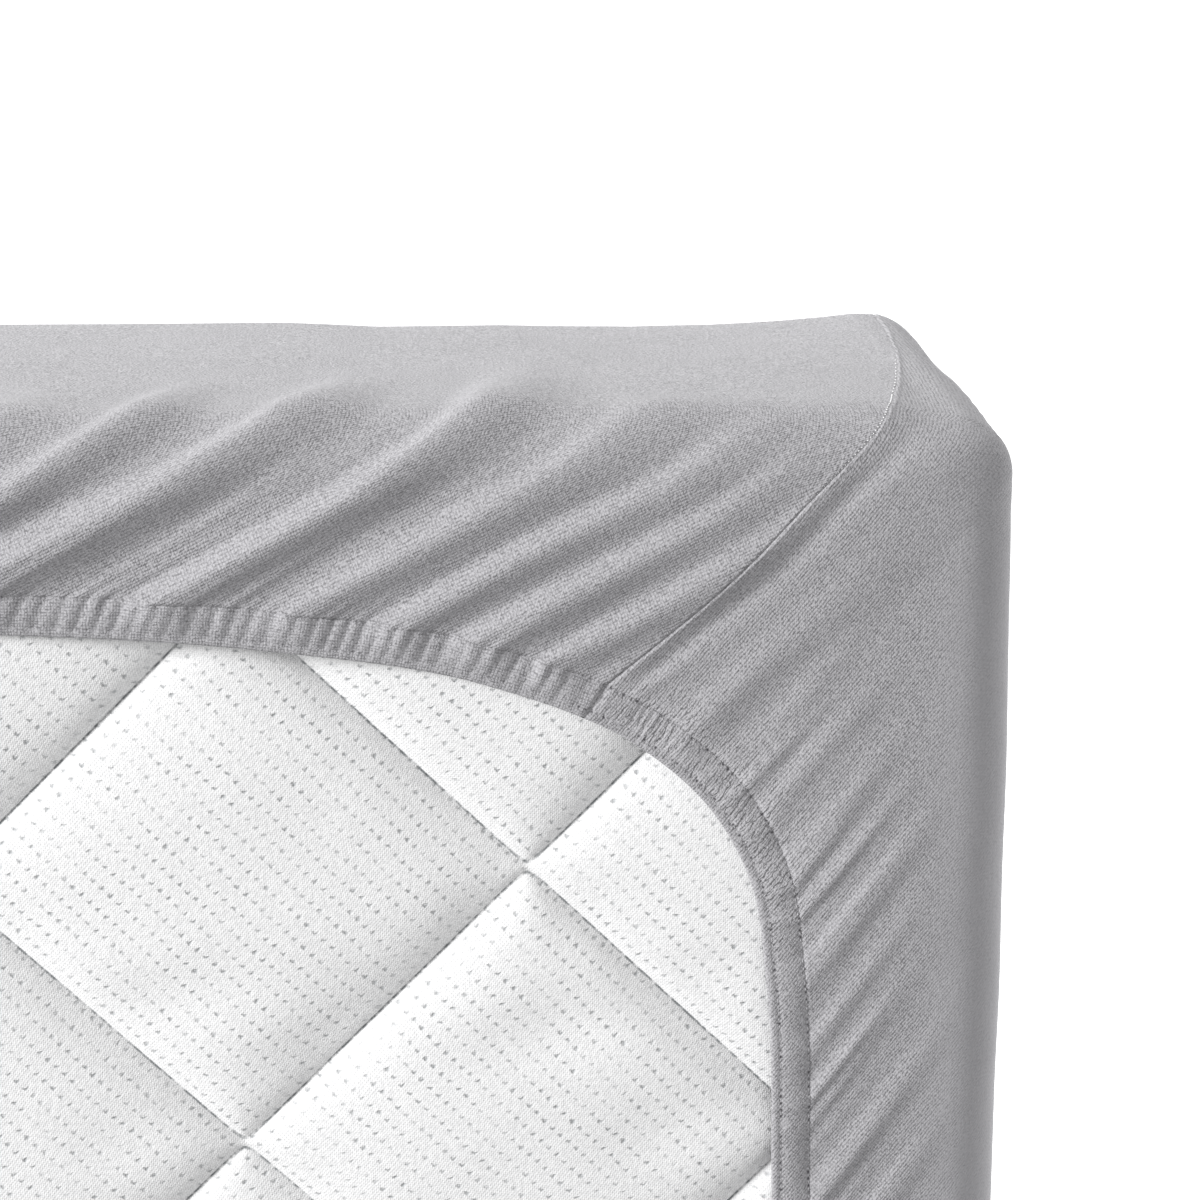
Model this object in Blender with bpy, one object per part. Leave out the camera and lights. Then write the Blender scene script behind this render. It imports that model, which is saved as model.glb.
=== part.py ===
"""Fitted cot sheet, drawn over a cot mattress that lies on its sleeping face.

The sheet's sleeping panel is flat on the ground, its walls go up the mattress's
sides, and its flap turns in over the underside to a gathered, elasticated hem.
Metres, +Z up, origin under the middle. X is the mattress's width, Y its length.
"""

import bmesh
import bpy
import numpy as np

MM = 0.001

# The dressed mattress
WIDTH = 0.700
LENGTH = 1.320
FLAP_TOP = 0.151
GROUND_EDGE = 0.008
SHOULDER = 0.022
WALL_ROWS = (0.096, 0.055)

# The sheet's corners: their radius at the ground and at the underside, how far the hem
# draws them in at the underside, and how far along the sides that pull is felt
CORNER_FOOT = 0.019
CORNER_TOP = 0.012
CORNER_PULL = 0.006
PULL_REACH = 0.041

# Each corner's seam: how far it stands from the corner's arc on the short side at the underside,
# and how far it leans round toward the long side by the time it reaches the ground
SEAM_FROM_ARC = 0.025
SEAM_LEAN = 0.024
LEAN_FADE = 0.060
LEAN_ENDS = 5 * LEAN_FADE

# The cloth and its hem: a casing whose middle stands above its two edges
CLOTH = 0.0016
HEM_WIDTH = 0.0105
HEM_THICKNESS = 0.0034
HEM_RISE = 0.0022
HEM_DROP = 0.0006

# The mattress inside the sheet
WALL_GAP = 0.0006
FLOOR_GAP = 0.0003
UNDERSIDE_GAP = 0.0008
MATTRESS_CORNER = 0.034
MATTRESS_SHOULDER = 0.031
MATTRESS_FOOT = 0.014
CORNER_STEPS = 6
EDGE_STEPS = 4

# The underside's diamond quilting: half a diamond's diagonal, and how deep its seams are sewn
QUILT_HALF = 0.0745
QUILT_FIRST_ROW = 0.040
QUILT_DEPTH = 0.0052
QUILT_SHOULDER_SHARE = 0.64
QUILT_TOP_GAP = 0.0003

# The hem's outer stitch row in one corner, mm: how far in from the long and from the short edge
STITCH_ROW = (
    # from_long, from_short
    (350.0, 41.0),
    (256.0, 42.0),
    (191.0, 47.5),
    (134.0, 58.0),
    (95.0, 75.0),
    (71.0, 97.0),
    (59.5, 119.0),
    (54.5, 150.0),
    (52.4, 208.0),
    (50.0, 400.0),
    (48.0, 660.0),
)
SEAM_ON_ROW = (109.0, 68.0)

# The folds that run from the hem toward the corner, mm: where each leaves the stitch row,
# counted from the corner seam, its height and width, and how far it reaches across the cloth
SHORT_SIDE_FOLDS = (
    # start, height, width, reach
    (18.0, 4.2, 16.0, 62.0),
    (38.0, 3.2, 17.0, 70.0),
    (57.0, 3.7, 19.0, 74.0),
    (82.0, 3.6, 22.0, 84.0),
    (119.5, 5.0, 28.0, 124.0),
    (145.0, 2.4, 20.0, 58.0),
    (177.5, 4.8, 28.0, 104.0),
    (204.0, 4.2, 22.0, 92.0),
    (228.0, 2.8, 20.0, 70.0),
)
LONG_SIDE_FOLDS = (
    # start, height, width, reach
    (10.0, 2.0, 12.0, 34.0),
    (29.0, 2.6, 16.0, 60.0),
    (43.0, 3.2, 12.0, 50.0),
    (56.0, 3.0, 12.0, 48.0),
    (76.0, 3.2, 17.0, 46.0),
    (101.0, 4.2, 20.0, 48.0),
    (121.0, 3.2, 17.0, 44.0),
    (137.0, 2.9, 15.0, 42.0),
    (163.0, 4.6, 25.0, 50.0),
)
# Past those, the long side's folds go on in this uneven order
LONG_SIDE_ORDER = (
    # step, height, width, reach
    (31.0, 3.7, 22.0, 46.0),
    (38.0, 4.6, 27.0, 62.0),
    (28.0, 2.7, 20.0, 38.0),
    (35.0, 4.1, 26.0, 52.0),
    (42.0, 3.3, 26.0, 60.0),
    (30.0, 4.4, 22.0, 44.0),
    (37.0, 3.0, 24.0, 50.0),
)
LONG_SIDE_CLEAR = 12.0

# The four corners clockwise from the +X +Y one: how strongly each is pulled in, and how its
# folds' places and heights differ from the tables
CORNERS = (
    # pull, place, height
    (1.00, 1.00, 1.00),
    (0.95, 1.05, 0.92),
    (1.04, 0.96, 1.08),
    (0.97, 0.94, 0.96),
)

# Folds lean from the hem toward the corner: how soon they do so away from a side's middle, and
# how they open from the stitch row to their full height
FAN_FROM_MIDDLE = 0.045
START_SHARE = 0.55
FULL_AT = 0.014

# Columns of points: feet of folds this near become one, and columns this near are one column
FOOT_MERGE = 0.007
LEAST_STEP = 0.0016
CORNER_COLUMNS = 9
GROUND_EVERY = 4

# How far down a column goes: while its fold stands, to the foot of the wall, or to the ground
FOLD, WALL, GROUND = 0, 1, 2

HAIR = 0.00001
PROBE = 0.002
SPLINE_STEPS = 60
SHARP_ANGLE = 50.0

JERSEY_COLOUR = (0.49, 0.48, 0.49, 1.0)
TICKING_COLOUR = (0.88, 0.89, 0.90, 1.0)


def clear_scene():
    for thing in list(bpy.data.objects):
        bpy.data.objects.remove(thing, do_unlink=True)


def fabric(name, colour, roughness):
    material = bpy.data.materials.new(name)
    material.use_nodes = True
    shader = material.node_tree.nodes["Principled BSDF"]
    shader.inputs["Base Color"].default_value = colour
    shader.inputs["Roughness"].default_value = roughness
    shader.inputs["Metallic"].default_value = 0.0
    return material


# The outline, a rectangle with round corners, walked clockwise as seen from above.
# A place on it is a span from 0 to 8: even spans are corners, odd ones the sides after them.


def outline(place, inset, radius, pull=0.0):
    """Points at these places on the outline, with their outward directions."""
    place = np.asarray(place, float) % 8.0
    span = np.floor(place).astype(int)
    share = place - span
    corner = span // 2
    on_side = span % 2 == 1
    ends = []
    for turn in (0, 1):
        index = (corner + turn) % 4
        side_x = np.where(index < 2, 1.0, -1.0)
        side_y = np.where((index == 0) | (index == 3), 1.0, -1.0)
        half_x = WIDTH / 2 - inset - radius
        half_y = LENGTH / 2 - inset - radius
        ends.append(np.stack([side_x * half_x, side_y * half_y], axis=1))
    angle = np.radians(90.0 - 90.0 * (corner + np.where(on_side, 1.0, share)))
    outward = np.stack([np.cos(angle), np.sin(angle)], axis=1)
    slide = np.where(on_side, share, 0.0)[:, None]
    points = ends[0] * (1 - slide) + ends[1] * slide + radius * outward
    tip = np.sign(points) * (WIDTH / 2, LENGTH / 2)
    drawn_in = pull * np.exp(-np.linalg.norm(tip - points, axis=1) / PULL_REACH)
    return points - np.sign(points) * (drawn_in / 2**0.5)[:, None], outward


def pull_at(height):
    return CORNER_PULL * height / FLAP_TOP


def span_lengths():
    arc = np.pi / 2 * CORNER_TOP
    long_side = LENGTH - 2 * CORNER_TOP
    short_side = WIDTH - 2 * CORNER_TOP
    return np.array([arc, long_side, arc, short_side] * 2)


def place_of(distance):
    """The place on the outline at a distance round it from the start of the first corner."""
    lengths = span_lengths()
    stops = np.concatenate([[0.0], np.cumsum(lengths)])
    return np.interp(distance % stops[-1], stops, np.arange(9))


def closed_spline(knots):
    """A smooth closed curve through the knots, as points and their distances along it."""
    knots = np.asarray(knots)
    before = np.roll(knots, 1, axis=0)
    after = np.roll(knots, -1, axis=0)
    step_in = np.linalg.norm(knots - before, axis=1)[:, None]
    step_out = np.linalg.norm(after - knots, axis=1)[:, None]
    slope_in = (knots - before) / step_in
    slope_out = (after - knots) / step_out
    tangent = (slope_in * step_out + slope_out * step_in) / (step_in + step_out)
    t = (np.arange(SPLINE_STEPS) / SPLINE_STEPS)[None, :, None]
    start, end = knots[:, None], after[:, None]
    leave = (tangent * step_out)[:, None]
    arrive = (np.roll(tangent, -1, axis=0) * step_out)[:, None]
    points = (
        start * (2 * t**3 - 3 * t**2 + 1)
        + leave * (t**3 - 2 * t**2 + t)
        + end * (3 * t**2 - 2 * t**3)
        + arrive * (t**3 - t**2)
    ).reshape(-1, 2)
    points = np.concatenate([points, points[:1]])
    distance = np.concatenate([[0.0], np.cumsum(np.linalg.norm(np.diff(points, axis=0), axis=1))])
    return points, distance


def corner_point(corner, from_long, from_short):
    side_x = 1.0 if corner < 2 else -1.0
    side_y = 1.0 if corner in (0, 3) else -1.0
    return side_x * (WIDTH / 2 - from_long * MM), side_y * (LENGTH / 2 - from_short * MM)


def stitch_row():
    """The hem's outer stitch row all the way round, from the middle of the +Y side, clockwise."""
    knots = []
    for corner, (pull, _, _) in enumerate(CORNERS):
        rows = STITCH_ROW if corner % 2 == 0 else STITCH_ROW[::-1]
        for from_long, from_short in rows[:-1]:
            middle = from_long == STITCH_ROW[0][0] or from_short == STITCH_ROW[-1][1]
            k = 1.0 if middle else pull
            pulled_long = from_long * k if from_long < from_short else from_long
            pulled_short = from_short * k if from_short < from_long else from_short
            knots.append(corner_point(corner, pulled_long, pulled_short))
    return closed_spline(knots)


def along_curve(curve, distance):
    points, along = curve
    distance = distance % along[-1]
    return np.stack([np.interp(distance, along, points[:, axis]) for axis in (0, 1)], axis=1)


def at_distance(curve, distance):
    """Points on a closed curve, with the directions that point out of it."""
    way = along_curve(curve, distance + PROBE) - along_curve(curve, distance - PROBE)
    way /= np.linalg.norm(way, axis=1)[:, None]
    return along_curve(curve, distance), np.stack([-way[:, 1], way[:, 0]], axis=1)


def stations(curve):
    """Where the sides' middles and the corner seams lie, on the stitch row and on the outline."""
    points, along = curve
    on_row = [0.0]
    middles = ((WIDTH / 2, 0.0), (0.0, -LENGTH / 2), (-WIDTH / 2, 0.0), (0.0, LENGTH / 2))
    for corner, (pull, _, _) in enumerate(CORNERS):
        seam = np.array(corner_point(corner, SEAM_ON_ROW[0], SEAM_ON_ROW[1] * pull))
        on_row.append(along[np.argmin(np.linalg.norm(points - seam, axis=1))])
        from_middle = np.linalg.norm(points[1:] - np.array(middles[corner]), axis=1)
        on_row.append(along[np.argmin(from_middle) + 1])
    on_row[-1] = along[-1]
    lengths = span_lengths()
    start = np.concatenate([[0.0], np.cumsum(lengths)])
    short_half = lengths[3] / 2
    on_outline = [
        -short_half,
        -SEAM_FROM_ARC,
        start[1] + lengths[1] / 2,
        start[3] + SEAM_FROM_ARC,
        start[3] + short_half,
        start[4] - SEAM_FROM_ARC,
        start[5] + lengths[5] / 2,
        start[7] + SEAM_FROM_ARC,
        start[8] - short_half,
    ]
    return np.array(on_row), np.array(on_outline)


def fanned(distance, on_row, on_outline):
    """The distance round the outline that a fold reaches from this distance round the stitch row."""
    distance = np.asarray(distance, float)
    reached = np.empty_like(distance)
    for i in range(8):
        low, high = on_row[i], on_row[i + 1]
        inside = (distance >= low) & (distance <= high)
        middle = i if i % 2 == 0 else i + 1
        seam = i + 1 if i % 2 == 0 else i
        length = abs(on_row[seam] - on_row[middle])
        spread = abs(on_outline[seam] - on_outline[middle]) - length
        away = np.abs(distance - on_row[middle])
        eased = (1 - np.exp(-away / FAN_FROM_MIDDLE)) / (1 - np.exp(-length / FAN_FROM_MIDDLE))
        sign = np.sign(on_outline[seam] - on_outline[middle])
        reached = np.where(inside, on_outline[middle] + sign * (away + spread * eased), reached)
    return reached


def leaned(reached, on_outline):
    """The same distances at the ground, where the cloth near each corner leans with its seam."""
    moved = np.array(reached)
    for corner in range(4):
        seam = on_outline[2 * corner + 1]
        middle = on_outline[2 * corner] if corner % 2 == 0 else on_outline[2 * corner + 2]
        half_side = abs(seam - middle)
        to_long = np.sign(seam - middle)
        past = (reached - seam) * to_long
        on_short = (past <= 0) & (past >= -half_side)
        on_long = (past > 0) & (past < LEAN_ENDS)
        lean = to_long * SEAM_LEAN
        moved = np.where(on_short, reached + lean * (1 + past / half_side), moved)
        moved = np.where(on_long, reached + lean * np.exp(-past / LEAN_FADE), moved)
    return moved


def fold_list(on_row):
    """Every fold all the way round: where it is on the stitch row, height, width and reach."""
    folds = []
    for corner, (_, place, height) in enumerate(CORNERS):
        seam = on_row[2 * corner + 1]
        short_middle = on_row[2 * corner] if corner % 2 == 0 else on_row[2 * corner + 2]
        long_middle = on_row[2 * corner + 2] if corner % 2 == 0 else on_row[2 * corner]
        to_short = np.sign(short_middle - seam)
        for start, rise, width, reach in SHORT_SIDE_FOLDS:
            folds.append((seam + to_short * start * place * MM, rise * height, width, reach))
        for start, rise, width, reach in LONG_SIDE_FOLDS:
            folds.append((seam - to_short * start * place * MM, rise * height, width, reach))
        run = LONG_SIDE_FOLDS[-1][0] * place
        end = abs(long_middle - seam) / MM - LONG_SIDE_CLEAR
        step = 2 * corner
        while True:
            gap, rise, width, reach = LONG_SIDE_ORDER[step % len(LONG_SIDE_ORDER)]
            run += gap * place
            if run > end:
                break
            folds.append((seam - to_short * run * MM, rise * height, width, reach))
            step += 1
    folds.sort()
    return [(at, rise * MM, width * MM, reach * MM) for at, rise, width, reach in folds]


def fold_at(distance, folds, length):
    """How high the folds stand at a distance round the stitch row, and how far they reach there."""
    rise, reach = 0.0, 0.0
    for at, height, width, far in folds:
        away = abs((distance - at + length / 2) % length - length / 2)
        if away <= width / 2 + HAIR:
            rise = max(rise, height * max(1 - 2 * away / width, 0.0))
            reach = max(reach, far)
    return rise, reach


def column_list(folds, on_row, length):
    """The sheet's columns of points: where each stands, its fold's height and reach, its depth."""
    places = []
    for i, (at, _, width, _) in enumerate(folds):
        before = folds[i - 1]
        last_foot = before[0] + before[2] / 2 - (length if i == 0 else 0.0)
        foot = at - width / 2
        depth = GROUND if i % GROUND_EVERY == 0 else WALL
        if foot - last_foot < FOOT_MERGE:
            places.append(((foot + last_foot) / 2, depth))
        else:
            places.append((last_foot, FOLD))
            places.append((foot, depth))
        places.append((at, FOLD))
    for corner in range(4):
        to_long = 1 if corner % 2 == 0 else -1
        for share in np.linspace(0, 1, CORNER_COLUMNS):
            around = share * (SEAM_FROM_ARC + span_lengths()[0])
            places.append((on_row[2 * corner + 1] + to_long * around, GROUND))
    places.sort()
    columns = []
    for at, depth in places:
        if columns and at - columns[-1][0] < LEAST_STEP:
            last = columns.pop()
            columns.append((*last[:3], max(last[3], depth)))
        else:
            columns.append((at, *fold_at(at, folds, length), depth))
    return columns


def corner_radius(height):
    return CORNER_FOOT + (CORNER_TOP - CORNER_FOOT) * height / FLAP_TOP


def swell(across, rise, reach):
    """How high a fold stands at this distance across the cloth from the stitch row."""
    opening = START_SHARE + (1 - START_SHARE) * np.minimum(across / FULL_AT, 1.0)
    return rise * opening * np.maximum(1 - (across / np.maximum(reach, HAIR)) ** 2, 0.0)


def sheet_rings(columns, curve):
    """The sheet's outer face as rings of points from the hem's edge down to the sleeping panel."""
    at = np.array([c[0] for c in columns])
    rise = np.array([c[1] for c in columns])
    reach = np.array([c[2] for c in columns])
    on_row, on_outline = stations(curve)
    reached = fanned(at % curve[1][-1], on_row, on_outline)
    at_ground = leaned(reached, on_outline)
    place = place_of(reached)
    row, out_of_row = at_distance(curve, at)
    edge, outward = outline(place, 0.0, CORNER_TOP, CORNER_PULL)
    inset = np.minimum(WIDTH / 2 - np.abs(row[:, 0]), LENGTH / 2 - np.abs(row[:, 1]))
    flap = inset - SHOULDER
    rings = []

    def add(plan, height, across, tilt, depth):
        lift = swell(across, rise, reach)
        flat = plan + outward * (lift * np.cos(tilt))[:, None]
        up = height + lift * np.sin(tilt)
        rings.append((np.column_stack([flat, up]), across, depth))

    def hem(share, height):
        flat = row - out_of_row * (share * HEM_WIDTH)
        rings.append((np.column_stack([flat, np.full(len(at), height)]), np.zeros(len(at)), FOLD))

    hem(1.0, FLAP_TOP - HEM_DROP)
    hem(0.5, FLAP_TOP + HEM_RISE)
    hem(0.0, FLAP_TOP + HEM_DROP)
    upright = np.full(len(at), np.pi / 2)
    for share in (0.5, 1.0):
        inward = inset - share * flap
        plan = edge + (row - edge) * (inward / inset)[:, None]
        add(plan, FLAP_TOP, share * flap, upright, FOLD)
    half_turn = np.pi / 4
    inward = SHOULDER * (1 - np.cos(half_turn))
    plan = edge + (row - edge) * (inward / inset)[:, None]
    around = SHOULDER * half_turn
    add(plan, FLAP_TOP - SHOULDER * (1 - np.sin(half_turn)), flap + around, upright / 2, WALL)
    wall_top = FLAP_TOP - SHOULDER
    for height in (wall_top, *WALL_ROWS, GROUND_EDGE):
        down = (wall_top - height) / wall_top
        leaning = place_of(reached + (at_ground - reached) * down)
        plan, outward = outline(leaning, 0.0, corner_radius(height), pull_at(height))
        depth = GROUND if height == GROUND_EDGE else WALL
        add(plan, height, flap + 2 * around + wall_top - height, 0 * upright, depth)
    for turn in (half_turn, np.pi / 2):
        inward = GROUND_EDGE * (1 - np.cos(turn))
        plan, _ = outline(place_of(at_ground), inward, corner_radius(0.0) - inward)
        low = GROUND_EDGE * (1 - np.sin(turn))
        rings.append((np.column_stack([plan, np.full(len(at), low)]), None, GROUND))
    return rings


def columns_kept(columns, across, depth, last_kept):
    """The columns that go down to a ring at this depth, and those whose folds still stand there."""
    kept = []
    for i, (_, _, reach, goes_to) in enumerate(columns):
        standing = depth < GROUND and across[i] < reach
        if i in last_kept and (goes_to >= depth or standing):
            kept.append(i)
    return kept


def join_rings(bm, upper, lower):
    """Faces between two rings, where the lower one may hold only some of the upper one's columns."""
    order = [column for column, _ in upper]
    corners_up = dict(upper)
    corners_low = dict(lower)
    low_order = [column for column, _ in lower]
    for i, left in enumerate(low_order):
        right = low_order[(i + 1) % len(low_order)]
        first, last = order.index(left), order.index(right)
        count = (last - first) % len(order)
        above = [corners_up[order[(first + k) % len(order)]] for k in range(count + 1)]
        if count == 1:
            bm.faces.new((above[0], above[1], corners_low[right], corners_low[left]))
            continue
        half = (count + 1) // 2
        for k in range(half):
            bm.faces.new((above[k], above[k + 1], corners_low[left]))
        bm.faces.new((above[half], corners_low[right], corners_low[left]))
        for k in range(half, count):
            bm.faces.new((above[k], above[k + 1], corners_low[right]))


def new_object(name, bm, material):
    mesh = bpy.data.meshes.new(name)
    bm.to_mesh(mesh)
    bm.free()
    mesh.materials.append(material)
    mesh.shade_smooth()
    mesh.set_sharp_from_angle(angle=np.radians(SHARP_ANGLE))
    thing = bpy.data.objects.new(name, mesh)
    bpy.context.scene.collection.objects.link(thing)
    return thing


def build_sheet(material):
    curve = stitch_row()
    on_row, _ = stations(curve)
    columns = column_list(fold_list(on_row), on_row, curve[1][-1])
    rings = sheet_rings(columns, curve)
    bm = bmesh.new()
    kept = list(range(len(columns)))
    last = None
    hem_middle = []
    for number, (points, across, depth) in enumerate(rings):
        kept = columns_kept(columns, across, depth, set(kept))
        ring = [(i, bm.verts.new(points[i])) for i in kept]
        if number == 1:
            hem_middle = [vertex for _, vertex in ring]
        if last:
            join_rings(bm, last, ring)
        last = ring
    bm.faces.new([vertex for _, vertex in last])
    bm.verts.index_update()
    thick = [vertex.index for vertex in hem_middle]
    bmesh.ops.recalc_face_normals(bm, faces=bm.faces)
    sheet = new_object("fitted_sheet", bm, material)
    every = sheet.vertex_groups.new(name="thickness")
    every.add(range(len(sheet.data.vertices)), CLOTH / HEM_THICKNESS, "REPLACE")
    every.add(thick, 1.0, "REPLACE")
    shell = sheet.modifiers.new("cloth", "SOLIDIFY")
    shell.thickness = HEM_THICKNESS
    shell.offset = -1.0
    shell.vertex_group = every.name
    return sheet


def quilt_height(x, y):
    """How far the ticking stands up from the sewn lines, from 0 on a line to 1 in a diamond's middle."""
    across = x / QUILT_HALF
    down = (LENGTH / 2 - QUILT_FIRST_ROW - y) / QUILT_HALF
    shares = []
    for slant in ((across + down) / 2, (across - down) / 2):
        from_line = 2 * abs(slant - round(slant))
        half_way = QUILT_SHOULDER_SHARE**0.5
        shares.append(np.interp(from_line, (0.0, 0.5, 1.0), (0.0, half_way, 1.0)))
    return shares[0] * shares[1]


def quilt_cutter(top):
    """What lies above the quilted underside, as a block whose lower face is the quilting."""
    step = QUILT_HALF / 2
    first_row = LENGTH / 2 - QUILT_FIRST_ROW
    last_column = int(WIDTH / 2 / step) + 1
    rows_above = int(QUILT_FIRST_ROW / step) + 1
    rows_below = int((LENGTH - QUILT_FIRST_ROW) / step) + 1
    columns = range(-last_column, last_column + 1)
    rows = range(-rows_above, rows_below + 1)
    bm = bmesh.new()
    grid = {}
    for i in columns:
        for j in rows:
            x, y = i * step, first_row - j * step
            grid[i, j] = bm.verts.new((x, y, top - QUILT_DEPTH * (1 - quilt_height(x, y))))
    for i in columns[:-1]:
        for j in rows[:-1]:
            a, b, c, d = grid[i, j], grid[i + 1, j], grid[i + 1, j + 1], grid[i, j + 1]
            if a.co.z + c.co.z < b.co.z + d.co.z:
                bm.faces.new((a, b, c))
                bm.faces.new((a, c, d))
            else:
                bm.faces.new((a, b, d))
                bm.faces.new((b, c, d))
    raised = bmesh.ops.extrude_face_region(bm, geom=list(bm.faces))
    for vertex in raised["geom"]:
        if isinstance(vertex, bmesh.types.BMVert):
            vertex.co.z = top + SHOULDER
    bmesh.ops.recalc_face_normals(bm, faces=bm.faces)
    cutter = new_object("quilt_cutter", bm, None)
    cutter.hide_render = True
    cutter.display_type = "WIRE"
    return cutter


def build_mattress(material):
    side = CLOTH + WALL_GAP
    bottom = CLOTH + FLOOR_GAP
    top = FLAP_TOP - CLOTH - UNDERSIDE_GAP
    quarter = np.linspace(0, 1, CORNER_STEPS + 1)
    place = np.concatenate([2 * corner + quarter for corner in range(4)])
    profile = []
    for turn in np.radians(np.linspace(0, 90, EDGE_STEPS + 1)):
        inset = MATTRESS_SHOULDER * (1 - np.sin(turn))
        profile.append((inset, top - MATTRESS_SHOULDER * (1 - np.cos(turn))))
    for turn in np.radians(np.linspace(0, 90, EDGE_STEPS + 1)):
        inset = MATTRESS_FOOT * (1 - np.cos(turn))
        profile.append((inset, bottom + MATTRESS_FOOT * (1 - np.sin(turn))))
    bm = bmesh.new()
    last = None
    first = None
    for inset, height in profile:
        plan, _ = outline(place, side + inset, MATTRESS_CORNER - inset, pull_at(height))
        ring = [(i, bm.verts.new((*point, height))) for i, point in enumerate(plan)]
        if last:
            join_rings(bm, last, ring)
        first = first or ring
        last = ring
    bm.faces.new([vertex for _, vertex in first])
    bm.faces.new([vertex for _, vertex in last])
    bmesh.ops.recalc_face_normals(bm, faces=bm.faces)
    mattress = new_object("mattress", bm, material)
    quilting = mattress.modifiers.new("quilting", "BOOLEAN")
    quilting.operation = "DIFFERENCE"
    quilting.object = quilt_cutter(top - QUILT_TOP_GAP)
    return mattress


clear_scene()
build_sheet(fabric("grey_cotton_jersey", JERSEY_COLOUR, 0.9))
build_mattress(fabric("white_knit_ticking", TICKING_COLOUR, 0.85))
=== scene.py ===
"""A fitted cot sheet on its mattress, seen from above the underside at one corner."""

import bmesh
import bpy
import numpy as np
from mathutils import Matrix


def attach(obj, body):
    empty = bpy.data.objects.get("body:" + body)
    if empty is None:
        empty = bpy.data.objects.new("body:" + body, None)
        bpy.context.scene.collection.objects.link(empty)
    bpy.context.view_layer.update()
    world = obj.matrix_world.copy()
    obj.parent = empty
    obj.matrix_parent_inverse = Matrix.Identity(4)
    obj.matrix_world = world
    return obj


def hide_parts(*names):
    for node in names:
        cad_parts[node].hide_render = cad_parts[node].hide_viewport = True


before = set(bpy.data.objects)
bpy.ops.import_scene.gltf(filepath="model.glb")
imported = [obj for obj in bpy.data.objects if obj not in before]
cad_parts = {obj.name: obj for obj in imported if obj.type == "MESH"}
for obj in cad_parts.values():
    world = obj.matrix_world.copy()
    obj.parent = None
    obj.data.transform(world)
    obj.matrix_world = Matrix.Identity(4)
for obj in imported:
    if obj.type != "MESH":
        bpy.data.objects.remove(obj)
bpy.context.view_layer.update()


# The mattress. A foam cot mattress lying on its sleeping face, in a cover of white knitted
# ticking. The ticking is quilted to thin wadding in diamonds, so that each diamond is a soft
# puff between two pairs of sewn lines.

MM = 0.001
WIDTH, LENGTH = 0.700, 1.320
# Half a diamond from corner to corner, and where the first of its lines cross
QUILT_HALF = 74.5 * MM
FIRST_CROSSING = LENGTH / 2 - 44.6 * MM
PUFF_TOP = 149.1 * MM
SEWN_DEPTH = 6.4 * MM
PANEL_X, PANEL_Y = 300 * MM, 616 * MM
PANEL_CORNER = 6 * MM
DIAMOND = QUILT_HALF * 2**0.5
# Distances from a crossing line at which a puff gets its points, mm
PUFF_STEPS = (0, 0.6, 1.2, 1.9, 2.7, 3.7, 5, 6.8, 9.3, 13, 18, 24, 31, 38.4, 45.6)
# Two zigzags of stitches all but touch at each crossing; the gap there is 2.8 times this, mm
CROSSING_TURN = 1
PUFF_SPREAD = 8.5
# Where the wadding has slumped: place, depth, half length, half width (mm) and direction
SLUMPS = (
    (130, 508, 2.6, 17, 7, 8),
    (172, 497, 2.1, 16, 6, 30),
    (228, 497, 2.4, 20, 7, 14),
    (268, 512, 1.8, 15, 6, 8),
    (205, 560, 1.5, 14, 8, -30),
    (118, 470, 1.5, 15, 8, 35),
    (262, 468, 1.7, 22, 8, 20),
)
# The drawn hem and flap press the long rims down: from this far in, over this much, and so deep
RIM_X, RIM_EASE, RIM_PRESSED = 61 * MM, 10 * MM, 2.8 * MM
MATTRESS_INSET = 5 * MM
MATTRESS_CORNER = 34 * MM
MATTRESS_SHOULDER = 31 * MM
MATTRESS_FOOT = 14 * MM
MATTRESS_BOTTOM = 3 * MM


def uneven(x, y, size, seed, cells=96):
    """A soft random rise and fall between -1 and 1, over distances of about this size."""
    grid = np.random.default_rng(seed).uniform(-1, 1, (cells, cells))
    u, v = x / size, y / size
    i, j = np.floor(u).astype(int), np.floor(v).astype(int)
    a, b = u - i, v - j
    a, b = a * a * (3 - 2 * a), b * b * (3 - 2 * b)
    low = grid[i % cells, j % cells] * (1 - a) + grid[(i + 1) % cells, j % cells] * a
    high = grid[i % cells, (j + 1) % cells] * (1 - a) + grid[(i + 1) % cells, (j + 1) % cells] * a
    return low * (1 - b) + high * b


def from_stitches(s, t):
    """The distance from the nearest quilting stitches, mm, where s and t count the lines."""
    side = DIAMOND / MM / np.pi
    a, b = side * np.sin(np.pi * s), side * np.sin(np.pi * t)
    turn_a, turn_b = np.cos(np.pi * s), np.cos(np.pi * t)
    level = a * b + CROSSING_TURN**2 * turn_a * turn_b
    return np.abs(level) / np.sqrt((turn_a * b) ** 2 + (turn_b * a) ** 2 + 2 * CROSSING_TURN**2)


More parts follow.
